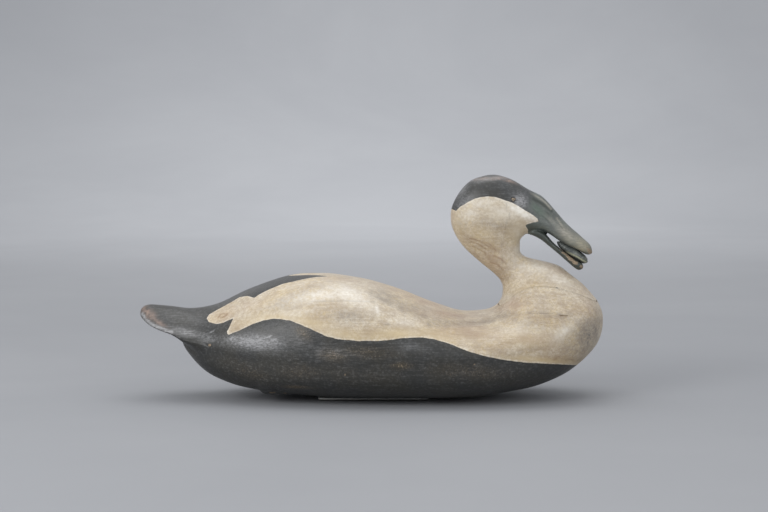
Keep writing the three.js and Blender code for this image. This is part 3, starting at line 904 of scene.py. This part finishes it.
def mortise_cutter(neck, gap):
    """An upright block a little larger than the foot of the neck, to cut its mortise with."""
    low = min(v.co.z for v in neck.data.vertices)
    foot = [v.co for v in neck.data.vertices if v.co.z < low + SAME_PLACE]
    grow = FOOT_INSET + gap
    bm = bmesh.new()
    for co in foot:
        x = MORTISE_MIDDLE + (co.x - MORTISE_MIDDLE) * (1 + grow / MORTISE_HALF_LENGTH)
        for z in (MORTISE_FLOOR, MORTISE_TOP):
            bm.verts.new((x, co.y * (1 + grow / MORTISE_HALF_WIDTH), z))
    hull = bmesh.ops.convex_hull(bm, input=bm.verts)
    bmesh.ops.delete(bm, geom=list({*hull["geom_interior"], *hull["geom_unused"]}), context="VERTS")
    bmesh.ops.recalc_face_normals(bm, faces=bm.faces)
    cutter = added("mortise_cutter", bpy.data.meshes.new("mortise_cutter"))
    bm.to_mesh(cutter.data)
    bm.free()
    return cutter


def largest_part(piece, name):
    """Deletes every loose part but the largest, and gives that one the name."""
    opened(piece)
    bpy.ops.mesh.separate(type="LOOSE")
    bpy.ops.object.mode_set(mode="OBJECT")
    parts = sorted(bpy.context.selected_objects, key=lambda part: len(part.data.vertices))
    for part in parts[:-1]:
        removed(part)
    parts[-1].name = name
    return parts[-1]


def seam_mark(places):
    """1 along the seam of the let-in neck, falling to 0 beside it."""
    corners = [v.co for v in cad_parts["head_and_neck"].data.vertices if on_seam(v.co)]
    sides = [(co.y / MORTISE_HALF_WIDTH, (co.x - MORTISE_MIDDLE) / MORTISE_HALF_LENGTH) for co in corners]
    turns = [math.atan2(*side) for side in sides]
    seam = np.array([corners[i] for i in np.argsort(turns)]) * 1000
    seam = np.vstack([seam, seam[:1]])
    return bump(distance_in_mm(places * 1000, seam), SEAM_REACH)


# The body

# Spots where the rear edge of the underside is chipped and the spine is raised, with their strength in mm
CHIPPED_REAR = [(275, 392, 15, 3.5, 3, 1.6)]
RAISED_SPINE = [(297, 273.5, 17, 6, -16, 1.7)]
# Soft spots in the paint by kind, some of them painted highlight, painted sheen or painted shade, and lines
# that are marked in the same way. A spot is its middle and its two radii in pixels, its turn in degrees and
# its strength. A line has its strength and its reach in mm.
BODY_PATCHES = {
    # Grey smudges, and painted shade along the wing folds and the valley crease and at the breast's turning
    # edge
    "grey": [
        (348, 316, 17, 6, 4, 0.55), (292, 300, 24, 7, -20, 0.42), (472, 336, 20, 7, 8, 0.35),
        (524, 300, 20, 9, 0, 0.2), (392, 303, 24, 2.6, 26, 0.45), (412, 312, 22, 2.6, 20, 0.45),
        (456, 316.5, 34, 3.2, -2, 0.4), (462, 323.4, 26, 1.6, 0, 0.55), (494, 318.5, 12, 1.8, -18, 0.55),
        (508, 315, 8, 3, -12, 0.4), (524, 321, 20, 8, 0, 0.3), (589, 335, 11, 20, 24, 1.1),
        (574, 346, 14, 10, -20, 0.5), (597, 318, 5, 16, -8, 0.5), (533, 313.4, 34, 0.9, 1, 0.6),
        (388, 324.5, 2.6, 0.7, 4, 0.9), (261.3, 313.7, 0.8, 0.8, 0, 0.9),
    ],
    "brown": [
        (534, 317, 22, 3.5, 3, 0.55), (556, 319, 18, 5, 4, 0.4), (570, 309, 12, 5, 20, 0.3),
        (562, 358.5, 30, 4.5, 3, 0.8), (540, 322, 20, 4, 4, 0.5), (512, 342, 14, 4, -16, 0.5),
        (548, 348, 16, 3, -10, 0.4), (320, 316, 15, 7, 4, 0.38), (236, 328, 10, 4, -30, 0.35),
        (362, 332, 26, 5, 4, 0.35), (424, 331, 30, 4, 6, 0.35), (500, 352, 26, 4, 14, 0.4),
        (500, 307, 5, 8, 20, 0.5), (545, 300, 20, 7, 0, 0.25), (563, 315.6, 5, 0.8, 3, 1.0),
        (560, 352, 40, 5, 4, 0.45),
    ],
    "cream": [
        (270, 320, 30, 7, -8, 0.8), (310, 322, 26, 6, 14, 0.7), (345, 334, 26, 6, 8, 0.8),
        (395, 334, 36, 6, -2, 0.8), (440, 336, 26, 7, 8, 0.5), (222, 316, 12, 4, -25, 0.3),
        (532, 340, 34, 9, 4, 0.5), (545, 360, 40, 3.2, 4, 1.1), (470, 336, 22, 7, 8, 0.45),
        (430, 333, 30, 4, 6, 0.6), (270, 300, 26, 3, -28, 0.35),
    ],
    "tip_wear": [(148, 313.5, 8, 4.5, 42, 1.05), (157, 321, 11, 2.4, 34, 0.7), (143.5, 309, 3, 5, 20, 0.6)],
    "warm": [
        (426, 296, 30, 7, 22, 1.5), (395, 284.5, 26, 6, 18, 1.1), (458, 305, 26, 6, 10, 0.8),
        (222, 315, 14, 5, -25, 0.5), (345, 279, 22, 2.6, 4, 0.4), (588, 308, 9, 12, -20, 0.4),
        (482, 310, 18, 4, -8, 0.3), (250, 306, 16, 5, -20, 0.25), (450, 314, 30, 5, 4, 0.7),
        (540, 340, 26, 7, 4, 0.45), (470, 332, 26, 8, 8, 0.6), (510, 304, 16, 8, 0, 0.6),
    ],
    # Mostly painted highlight: on the top of the wing, along its front edge and on the breast
    "pale": [
        (318, 296, 36, 6, -10, 0.75), (348, 294, 22, 8, 20, 0.85), (366, 303, 12, 5, 30, 0.6),
        (377, 309, 2.2, 6, -20, 0.8), (300, 312, 22, 3.5, -4, 0.35), (563, 333, 11, 5, -38, 0.6),
        (300, 284, 26, 2.5, -14, 0.3), (405, 322, 16, 4, 10, 0.3), (520, 330, 20, 6, 0, 0.25),
        (291, 315, 8, 1.0, 3, 0.6),
    ],
    # Painted sheen on the black of the rump, the tail and the flanks, with some dust
    "dusty": [
        (190, 318, 40, 8, 8, 0.2), (240, 294, 40, 6, -28, 0.16), (255, 342, 26, 6.5, 4, 1.35),
        (300, 343, 18, 7, 14, 0.25), (207, 337, 12, 4, 14, 0.5), (330, 352, 20, 6, 8, 0.26),
        (411, 347, 14, 5, 0, 0.28), (212, 331.5, 3.4, 0.8, -35, 0.9), (250.5, 340, 3.6, 0.8, -8, 2.0),
        (267, 337, 4.8, 0.8, -12, 2.0), (232, 338.4, 4, 1.4, -22, 1.6), (277, 342.5, 2.6, 2.6, 0, 1.0),
        (258, 346, 9, 0.8, 4, 1.2), (272, 340, 7, 0.7, -6, 1.4), (186, 332, 15, 4, 12, 0.75),
        (205, 337, 12, 4, 14, 0.5),
    ],
    "rust": [
        (333, 355, 12, 5, 6, 0.8), (365, 352, 24, 6, 4, 0.4), (401, 366, 9, 3, 0, 0.9),
        (345, 374, 50, 9, 2, 0.1), (296, 387, 12, 1.4, 3, 0.9), (470, 372, 40, 8, 4, 0.25),
        (300, 372, 20, 8, 4, 0.3), (303, 333, 8, 5, 40, 0.7), (250, 372, 26, 8, 20, 0.25),
    ],
}
# The grey lines along the wing folds, the valley crease and the check are painted shade in those hollows, the
# one along the wing's scratch is the scratch itself; the line along the tail's rim is a painted highlight
BODY_LINES = [
    ("grey", [WING_SCRATCH], 0.5, 1.4),
    ("grey", WING_FOLDS[:1], 0.55, 7.0),
    ("grey", WING_FOLDS[1:], 0.45, 7.0),
    ("grey", [VALLEY_CREASE], 0.6, 7.0),
    ("grey", [CHECK_LINE], 0.35, 7.0),
    ("brown", FINGER_WRINKLES, 1.2, 1.5),
    ("dusty", [TAIL_RIM], 1.35, 3.0),
]
# Spots where the paint is worn to the wood
BODY_BARE = [
    (271, 392.4, 7, 0.9, 3, 0.75), (284, 393.4, 4, 0.8, 0, 0.7), (209.4, 345, 1.8, 1.3, 0, 1.0),
    (302.4, 336, 2.2, 0.9, 30, 0.7), (344.8, 374.4, 1.2, 0.9, 0, 0.9), (450, 374.5, 1.6, 0.9, 0, 0.9),
    (475, 365, 2.2, 0.8, 10, 0.9), (395, 367, 3, 0.8, 0, 0.55),
]


def carve_body(sizes):
    body = copied("body", "body_block")
    crease_where(body, on_seam)
    smoothed(body)
    neck = smooth_neck("neck_stub")
    cutter = mortise_cutter(neck, sizes.joint_gap)
    opened(neck)
    bpy.ops.mesh.bisect(plane_co=(0, 0, STUB_TOP), plane_no=(0, 0, 1), use_fill=True, clear_outer=True)
    bpy.ops.object.mode_set(mode="OBJECT")
    only(body)
    neck.select_set(True)
    bpy.ops.object.join()
    evened(body, sizes.body_grid, rounds=6)
    with_modifier(body, "BOOLEAN", object=cutter, operation="DIFFERENCE", solver="EXACT")
    removed(cutter)
    return largest_part(body, "carved_body")


def carve_body_details(body, sizes):
    """Carves the tool marks and the grooves. A groove is its sides, its lines, its depth and its reach."""
    divided_near(body, [OPEN_CHECK, CHECK_LINE], reach=3.5, cuts=2)
    divided_near(body, [TAIL_GROOVE, *NECK_WRINKLES, *FINGER_WRINKLES], reach=3.0, cuts=1)
    places, seen, both_sides = looked_at(body)
    near_side = np.where(places[:, 1] < 0, both_sides, 0)
    depth = 1000 * sizes.tool_marks * unevenness(places, 0.5, (0.35, 42, 1), (0.2, 17, 2))
    for sides, lines, deepest, reach in (
        (both_sides, [VALLEY_CREASE], 1000 * sizes.valley_depth, 4.5),
        (both_sides, WING_FOLDS, 0.5, 5.0),
        (near_side, [CHECK_LINE], 1000 * sizes.check_depth, 1.3),
        (near_side, [OPEN_CHECK], 1.2, 1.1),
        (both_sides, [TAIL_GROOVE], 0.4, 1.6),
        (near_side, [WING_SCRATCH], 0.2, 1.3),
        (near_side, NECK_WRINKLES, 0.35, 1.4),
    ):
        depth += sides * deepest * grooves(seen, lines, reach)
    depth += patches(seen, CHIPPED_REAR) * np.clip(unevenness(places, 0.5, (1, 6, 3)), 0, 1)
    depth -= patches(seen, RAISED_SPINE)
    moved(body, depth)


def mark_body(body):
    places, seen, square = looked_at(body)
    white = [*WHITE_LOWER_EDGE, *WHITE_OVER_THE_BACK, *WHITE_FINGER_TOP, *WHITE_FINGER_BOTTOM]
    marked(body, "white_edge", paint_edge(body, seen, white))
    for kind, strength in spots_and_lines(seen, BODY_PATCHES, BODY_LINES).items():
        marked(body, kind, strength * square)
    marked(body, "bare", patches(seen, BODY_BARE))
    marked(body, "seam", seam_mark(places))


# The head and neck, with its spots, lines and worn spots as for the body

HEAD_PATCHES = {
    "grey": [(500, 225, 24, 6, 4, 0.35), (462, 222, 8, 10, 30, 0.25), (515, 262, 12, 6, 20, 0.2)],
    "brown": [
        (482, 241, 14, 4, 14, 0.45), (488, 258, 12, 14, -38, 0.4), (519, 231, 5, 7, 0, 0.3),
        (502, 275, 8, 8, -30, 0.6), (497, 300, 4, 8, 0, 0.45), (466, 238, 4, 12, -30, 0.35),
        (478, 262, 5, 14, -38, 0.35), (545, 284, 26, 2, 3, 0.3), (507, 228, 22, 4, 2, 0.4),
        (492, 250, 20, 10, 20, 0.3), (491, 246, 5, 3, 35, 0.8), (518, 227, 6, 4, 0, 0.45),
        (466, 228, 12, 8, 0, 0.1),
    ],
    "warm": [
        (452, 215, 5, 8, 0, 0.3), (560, 270, 22, 4, 24, 0.35), (585, 290, 10, 6, 40, 0.35),
        (495, 262, 10, 12, -30, 0.35),
    ],
    # Painted highlight along the cap's edge on the cheek and down the neck, and a spot that lightens the
    # throat where it lies in shade
    "pale": [
        (520, 210, 19, 5.5, 30, 1.3), (484, 203, 18, 5, -8, 0.6), (468, 215, 12, 7, -20, 0.5),
        (536, 268, 18, 7, 10, 0.6), (560, 279, 16, 5, 20, 0.5), (520, 250, 6, 10, 0, 0.5),
        (503, 212, 24, 8, 8, 0.5), (518, 232, 7, 9, 0, 0.5),
    ],
    "cream": [
        (458, 226, 8, 16, -10, 0.5), (480, 232, 20, 8, 10, 0.35), (500, 205, 20, 4, 8, 0.3),
        # The strong spot at the throat is painted light on the shaded throat
        (530, 290, 20, 8, 0, 0.4), (518, 232, 9, 12, 0, 1.0), (500, 214, 24, 9, 6, 0.3),
    ],
    # Painted highlight along the crown and on the cap, with some dust
    "dusty": [
        (487, 179, 24, 2.3, -5, 0.6), (462, 192, 4, 10, 34, 0.5), (521, 201, 8, 6.5, 40, 1.3),
        (463, 202, 9, 5, -40, 0.55), (534, 211, 9, 3, 46, 0.7), (505, 186, 12, 4, 20, 0.1),
    ],
    # A painted highlight band along the crown, with some worn paint
    "tip_wear": [(508, 180.4, 7, 1.6, 20, 1.0), (492, 178.4, 20, 1.6, -3, 0.9)],
    "bill_green": [(538, 210, 11, 4, 44, 0.7), (534, 228, 8, 6, 20, 0.3)],
    "bill_tip": [(582, 246, 11, 7, 42, 0.9), (571, 240, 12, 5, 40, 0.45)],
    # Dark paint, and painted shade in the bill's hollows
    "bill_dark": [
        (530, 228, 6, 5, 10, 0.6), (570, 224, 14, 1.2, 47, 0.5), (587.5, 253.5, 4, 1.4, 30, 0.4),
        (548, 213, 5, 2, 46, 0.5),
    ],
    # Worn streaks and a painted sheen on the bill
    "bill_light": [(566, 233, 12, 5, 42, 0.75), (552, 221, 8, 2.4, 40, 0.35), (574, 238, 10, 4, 42, 0.4)],
}
# The dark line beside the lobe is painted shade in its hollow; the light lines along the ridge and the nostril
# are wear with a painted sheen
HEAD_LINES = [
    ("bill_dark", [LOBE_SHADE], 0.95, 3.4),
    ("bill_light", [LOBE_RIDGE], 0.65, 1.8),
    ("bill_light", [NOSTRIL], 0.55, 2.8),
    ("brown", CHEEK_GRAIN, 0.95, 1.7),
]
HEAD_BARE = [
    (589, 251, 5.5, 2.6, 50, 0.95), (570.5, 258.6, 14, 2.1, 40, 1.1), (513.4, 199.6, 2.6, 2.2, 0, 0.9),
    (580.5, 267, 3.4, 2.2, 38, 0.9),
]


def carve_head(sizes):
    head = smooth_neck("carved_head_and_neck")
    evened(head, sizes.head_grid, rounds=5)
    return head


# How far to each side, in mm, the ring of the eye is carved and darkened, and its middle darkened
RING_REACH, RING_DARK, PUPIL_DARK = 0.9, 0.8, 1.0


def from_eye(seen, sizes):
    """Distance in mm of each seen point from the middle of the eye and from its ring."""
    distance = np.linalg.norm(seen - on_picture(EYE), axis=1)
    return distance, np.abs(distance - 500 * sizes.eye_width)


def carve_head_details(head, sizes):
    divided_near(head, [EYE_STROKE], reach=4.5, cuts=2)
    divided_near(head, [FEATHERING_GROOVE, LOBE_SCOOP, NOSTRIL], reach=1.5, cuts=1)
    places, seen, square = looked_at(head)
    depth = 1000 * sizes.tool_marks * unevenness(places, 0.35, (0.3, 24, 4), (0.15, 10, 5))
    for lines, deepest, reach in (
        ([FEATHERING_GROOVE], 0.35, 1.8),
        ([LOBE_SCOOP], 0.9, 4.2),
        ([NOSTRIL], 0.7, 1.8),
        (CHEEK_GRAIN, 0.2, 1.6),
    ):
        depth += square * deepest * grooves(seen, lines, reach)
    _, ring = from_eye(seen, sizes)
    depth += square * 1000 * sizes.eye_depth * bump(ring, RING_REACH)
    moved(head, depth)


def mark_head(head, sizes):
    places, seen, square = looked_at(head)
    marked(head, "white_edge", paint_edge(head, seen, CAP_EDGE))
    marks = spots_and_lines(seen, HEAD_PATCHES, HEAD_LINES)
    marks["bill_dark"] = np.maximum(marks["bill_dark"], 0.7 * fade(area_distance(seen, LOWER_JAW), -0.8, 0.8))
    for kind, strength in marks.items():
        marked(head, kind, strength * square)
    slanted = seen[:, 0] + BILL_ROOT_SLANT * (seen[:, 1] - on_picture(BILL_ROOT_ROW))
    marked(head, "bill", fade(slanted, *on_picture(BILL_ROOT_COLUMNS)))
    marked(head, "bare", patches(seen, HEAD_BARE))
    middle, ring = from_eye(seen, sizes)
    marked(head, "eye_dark", np.maximum(0.7 * bump(ring, RING_DARK), 0.8 * bump(middle, PUPIL_DARK)) * square)
    marked(head, "seam", seam_mark(places))


# The mussel

MUSSEL_MIDDLE = np.array([0.2199, 0.0, 0.1598])
MUSSEL_SLOPE = math.radians(34)
MUSSEL_HALF_LENGTH = 0.0205
# The growth rings: how much narrower than long they are, and their turn in radians for each mm
RING_NARROWNESS = 1.4
RING_TURN = 2.1
# How far from the beak, in mm, the rings, the pale lip and the olive tip start and are full
RINGS_FROM = (6, 14)
LIP_FROM = (14, 26)
TIP_FROM = (33, 40)


def carve_mussel():
    mussel = copied("mussel", "carved_mussel")
    with_modifier(mussel, "SUBSURF", levels=3, render_levels=3)
    places, seen, _ = looked_at(mussel)
    offset = places - MUSSEL_MIDDLE
    cos, sin = math.cos(MUSSEL_SLOPE), math.sin(MUSSEL_SLOPE)
    along = offset[:, 0] * cos - offset[:, 2] * sin
    from_beak = np.hypot(along + MUSSEL_HALF_LENGTH, offset[:, 1] * RING_NARROWNESS) * 1000
    valve = line_distance(seen, VALVE_LINE)
    rings = 1 + np.sin(from_beak * RING_TURN + 1.2 * waves(places, 9, 6))
    moved(mussel, 0.1 * rings * fade(from_beak, *RINGS_FROM) + 0.25 * bump(valve, 0.8))
    marked(mussel, "lip", bump(valve, 1.5) * (0.35 + 0.65 * fade(from_beak, *LIP_FROM)))
    marked(mussel, "below", fade(area_distance(seen, SHELL_UNDERSIDE), -0.5, 1.5))
    marked(mussel, "tip", fade(from_beak, *TIP_FROM))
    return mussel


# The ballast plate

PLATE_GRID = 0.0009
FLAT_ANGLE = math.radians(2)


def cut_plate(sizes):
    plate = copied("ballast_plate", "cut_ballast_plate")
    opened(plate)
    bpy.ops.mesh.dissolve_limited(angle_limit=FLAT_ANGLE)
    bpy.ops.object.mode_set(mode="OBJECT")
    with_modifier(plate, "BEVEL", width=sizes.plate_bevel, segments=3, limit_method="ANGLE")
    with_modifier(plate, "REMESH", mode="VOXEL", voxel_size=PLATE_GRID, adaptivity=0.0)
    with_modifier(plate, "SMOOTH", factor=0.5, iterations=2)
    places = read(plate.data, "co")
    moved(plate, np.clip(unevenness(places, 0.12, (0.16, 14, 7), (0.08, 5, 8)), 0, None))
    return plate


# The operators that make the pieces


class DECOY_OT_body(bpy.types.Operator):
    """Carve and paint the body"""

    bl_idname = "decoy.body"
    bl_label = "Body"

    def execute(self, context):
        sizes, colours = context.scene.decoy_sizes, context.scene.decoy_colours
        body = carve_body(sizes)
        carve_body_details(body, sizes)
        mark_body(body)
        finished(body, "body", body_material(colours))
        return {"FINISHED"}


class DECOY_OT_head(bpy.types.Operator):
    """Carve and paint the head and neck"""

    bl_idname = "decoy.head"
    bl_label = "Head and Neck"

    def execute(self, context):
        sizes, colours = context.scene.decoy_sizes, context.scene.decoy_colours
        head = carve_head(sizes)
        carve_head_details(head, sizes)
        mark_head(head, sizes)
        finished(head, "head_and_neck", head_material(colours))
        return {"FINISHED"}


class DECOY_OT_mussel(bpy.types.Operator):
    """Carve and paint the mussel in the bill"""

    bl_idname = "decoy.mussel"
    bl_label = "Mussel"

    def execute(self, context):
        finished(carve_mussel(), "mussel", mussel_material(context.scene.decoy_colours))
        return {"FINISHED"}


class DECOY_OT_plate(bpy.types.Operator):
    """Cut the lead ballast plate under the body"""

    bl_idname = "decoy.plate"
    bl_label = "Ballast Plate"

    def execute(self, context):
        sizes, colours = context.scene.decoy_sizes, context.scene.decoy_colours
        finished(cut_plate(sizes), "ballast_plate", lead_material(colours))
        return {"FINISHED"}


# The stage

FLOOR_RADIUS = 2.6
RISE = 2.6
RISE_TURN = math.radians(58)
ROUND_STEPS = 96
AMBIENT_TINT = (0.96, 0.97, 1.0, 1)
FARTHEST_SEEN = 50
# Each light by its power: its name, where it stands, where it aims, its width and its depth
LIGHTS = {
    "key_power": ("overhead_light", (-0.1, 0.3, 1.9), (0, 0, 0.1), 1.9, 1.2),
    "front_power": ("front_light", (-1.5, -1.7, 0.95), (0, 0, 0.12), 1.1, 1.2),
    "fill_power": ("fill_light", (1.5, -1.7, 0.7), (0, 0, 0.12), 1.2, 0.9),
    "wall_power": ("backdrop_light", (0, 2.53, 1.61), (0, 3.5, 0), 0.4, 1.2),
}


def soft_light(name, place, target, width, depth, power):
    data = bpy.data.lights.new(name, "AREA")
    data.shape, data.size, data.size_y, data.energy = "RECTANGLE", width, depth, power
    light = added(name, data)
    light.location = place
    light.visible_camera = False
    light.rotation_euler = (Vector(target) - Vector(place)).to_track_quat("-Z", "Y").to_euler()


class DECOY_OT_stage(bpy.types.Operator):
    """Set up the paper bowl, the lights and the camera"""

    bl_idname = "decoy.stage"
    bl_label = "Stage"

    def execute(self, context):
        scene, stage = context.scene, context.scene.decoy_stage
        bpy.ops.object.select_all(action="DESELECT")
        paper = added("paper_bowl", bpy.data.meshes.new("paper_bowl"))
        turns = [RISE_TURN * i / stage.rise_steps for i in range(stage.rise_steps + 1)]
        rise = [(FLOOR_RADIUS + RISE * math.sin(turn), 0, RISE - RISE * math.cos(turn)) for turn in turns]
        profile = [(0, 0, 0), *rise]
        paper.data.from_pydata(profile, [(i, i + 1) for i in range(len(profile) - 1)], [])
        whole = {"angle": math.tau, "steps": ROUND_STEPS, "render_steps": ROUND_STEPS}
        with_modifier(paper, "SCREW", use_merge_vertices=True, **whole)
        bpy.ops.object.shade_smooth()
        paper.data.materials.append(backdrop_material(scene.decoy_colours))
        for name, light in LIGHTS.items():
            soft_light(*light, getattr(stage, name))
        scene.world = bpy.data.worlds.new("studio")
        scene.world.use_nodes = True
        background = scene.world.node_tree.nodes["Background"]
        background.inputs[0].default_value = AMBIENT_TINT
        background.inputs[1].default_value = stage.ambient
        camera = added("camera", bpy.data.cameras.new("camera"))
        camera.data.sensor_width = SENSOR
        camera.data.lens = SENSOR * CAMERA_DISTANCE / (PICTURE_WIDTH * PIXEL)
        away = Vector((0, -math.cos(CAMERA_RISE), math.sin(CAMERA_RISE)))
        camera.location = (Vector(AIM) + away * CAMERA_DISTANCE) / 1000
        camera.rotation_euler = (math.radians(90) - CAMERA_RISE, 0, 0)
        camera.data.clip_end = FARTHEST_SEEN
        scene.camera = camera
        scene.view_settings.view_transform = "Standard"
        return {"FINISHED"}


class DECOY_PT_panel(bpy.types.Panel):
    """Makes each piece of the decoy, and lists what can be changed"""

    bl_label = "Duck Decoy"
    bl_idname = "DECOY_PT_panel"
    bl_space_type = "VIEW_3D"
    bl_region_type = "UI"
    bl_category = "Decoy"

    def draw(self, context):
        for operator in OPERATORS:
            self.layout.operator(operator.bl_idname)
        for group in (context.scene.decoy_sizes, context.scene.decoy_colours, context.scene.decoy_stage):
            box = self.layout.box()
            for name in group.__annotations__:
                box.prop(group, name)


OPERATORS = (DECOY_OT_stage, DECOY_OT_body, DECOY_OT_head, DECOY_OT_mussel, DECOY_OT_plate)
GROUPS_OF_SETTINGS = {"decoy_colours": DecoyColours, "decoy_sizes": DecoySizes, "decoy_stage": DecoyStage}


def register():
    for group in (*GROUPS_OF_SETTINGS.values(), *OPERATORS, DECOY_PT_panel):
        bpy.utils.register_class(group)
    for name, group in GROUPS_OF_SETTINGS.items():
        setattr(bpy.types.Scene, name, PointerProperty(type=group))


def unregister():
    for name in GROUPS_OF_SETTINGS:
        delattr(bpy.types.Scene, name)
    for group in reversed((*GROUPS_OF_SETTINGS.values(), *OPERATORS, DECOY_PT_panel)):
        bpy.utils.unregister_class(group)


def main():
    register()
    bpy.ops.object.select_all(action="DESELECT")
    bpy.ops.decoy.stage()
    bpy.ops.decoy.body()
    bpy.ops.decoy.head()
    bpy.ops.decoy.mussel()
    bpy.ops.decoy.plate()


if __name__ == "__main__":
    main()
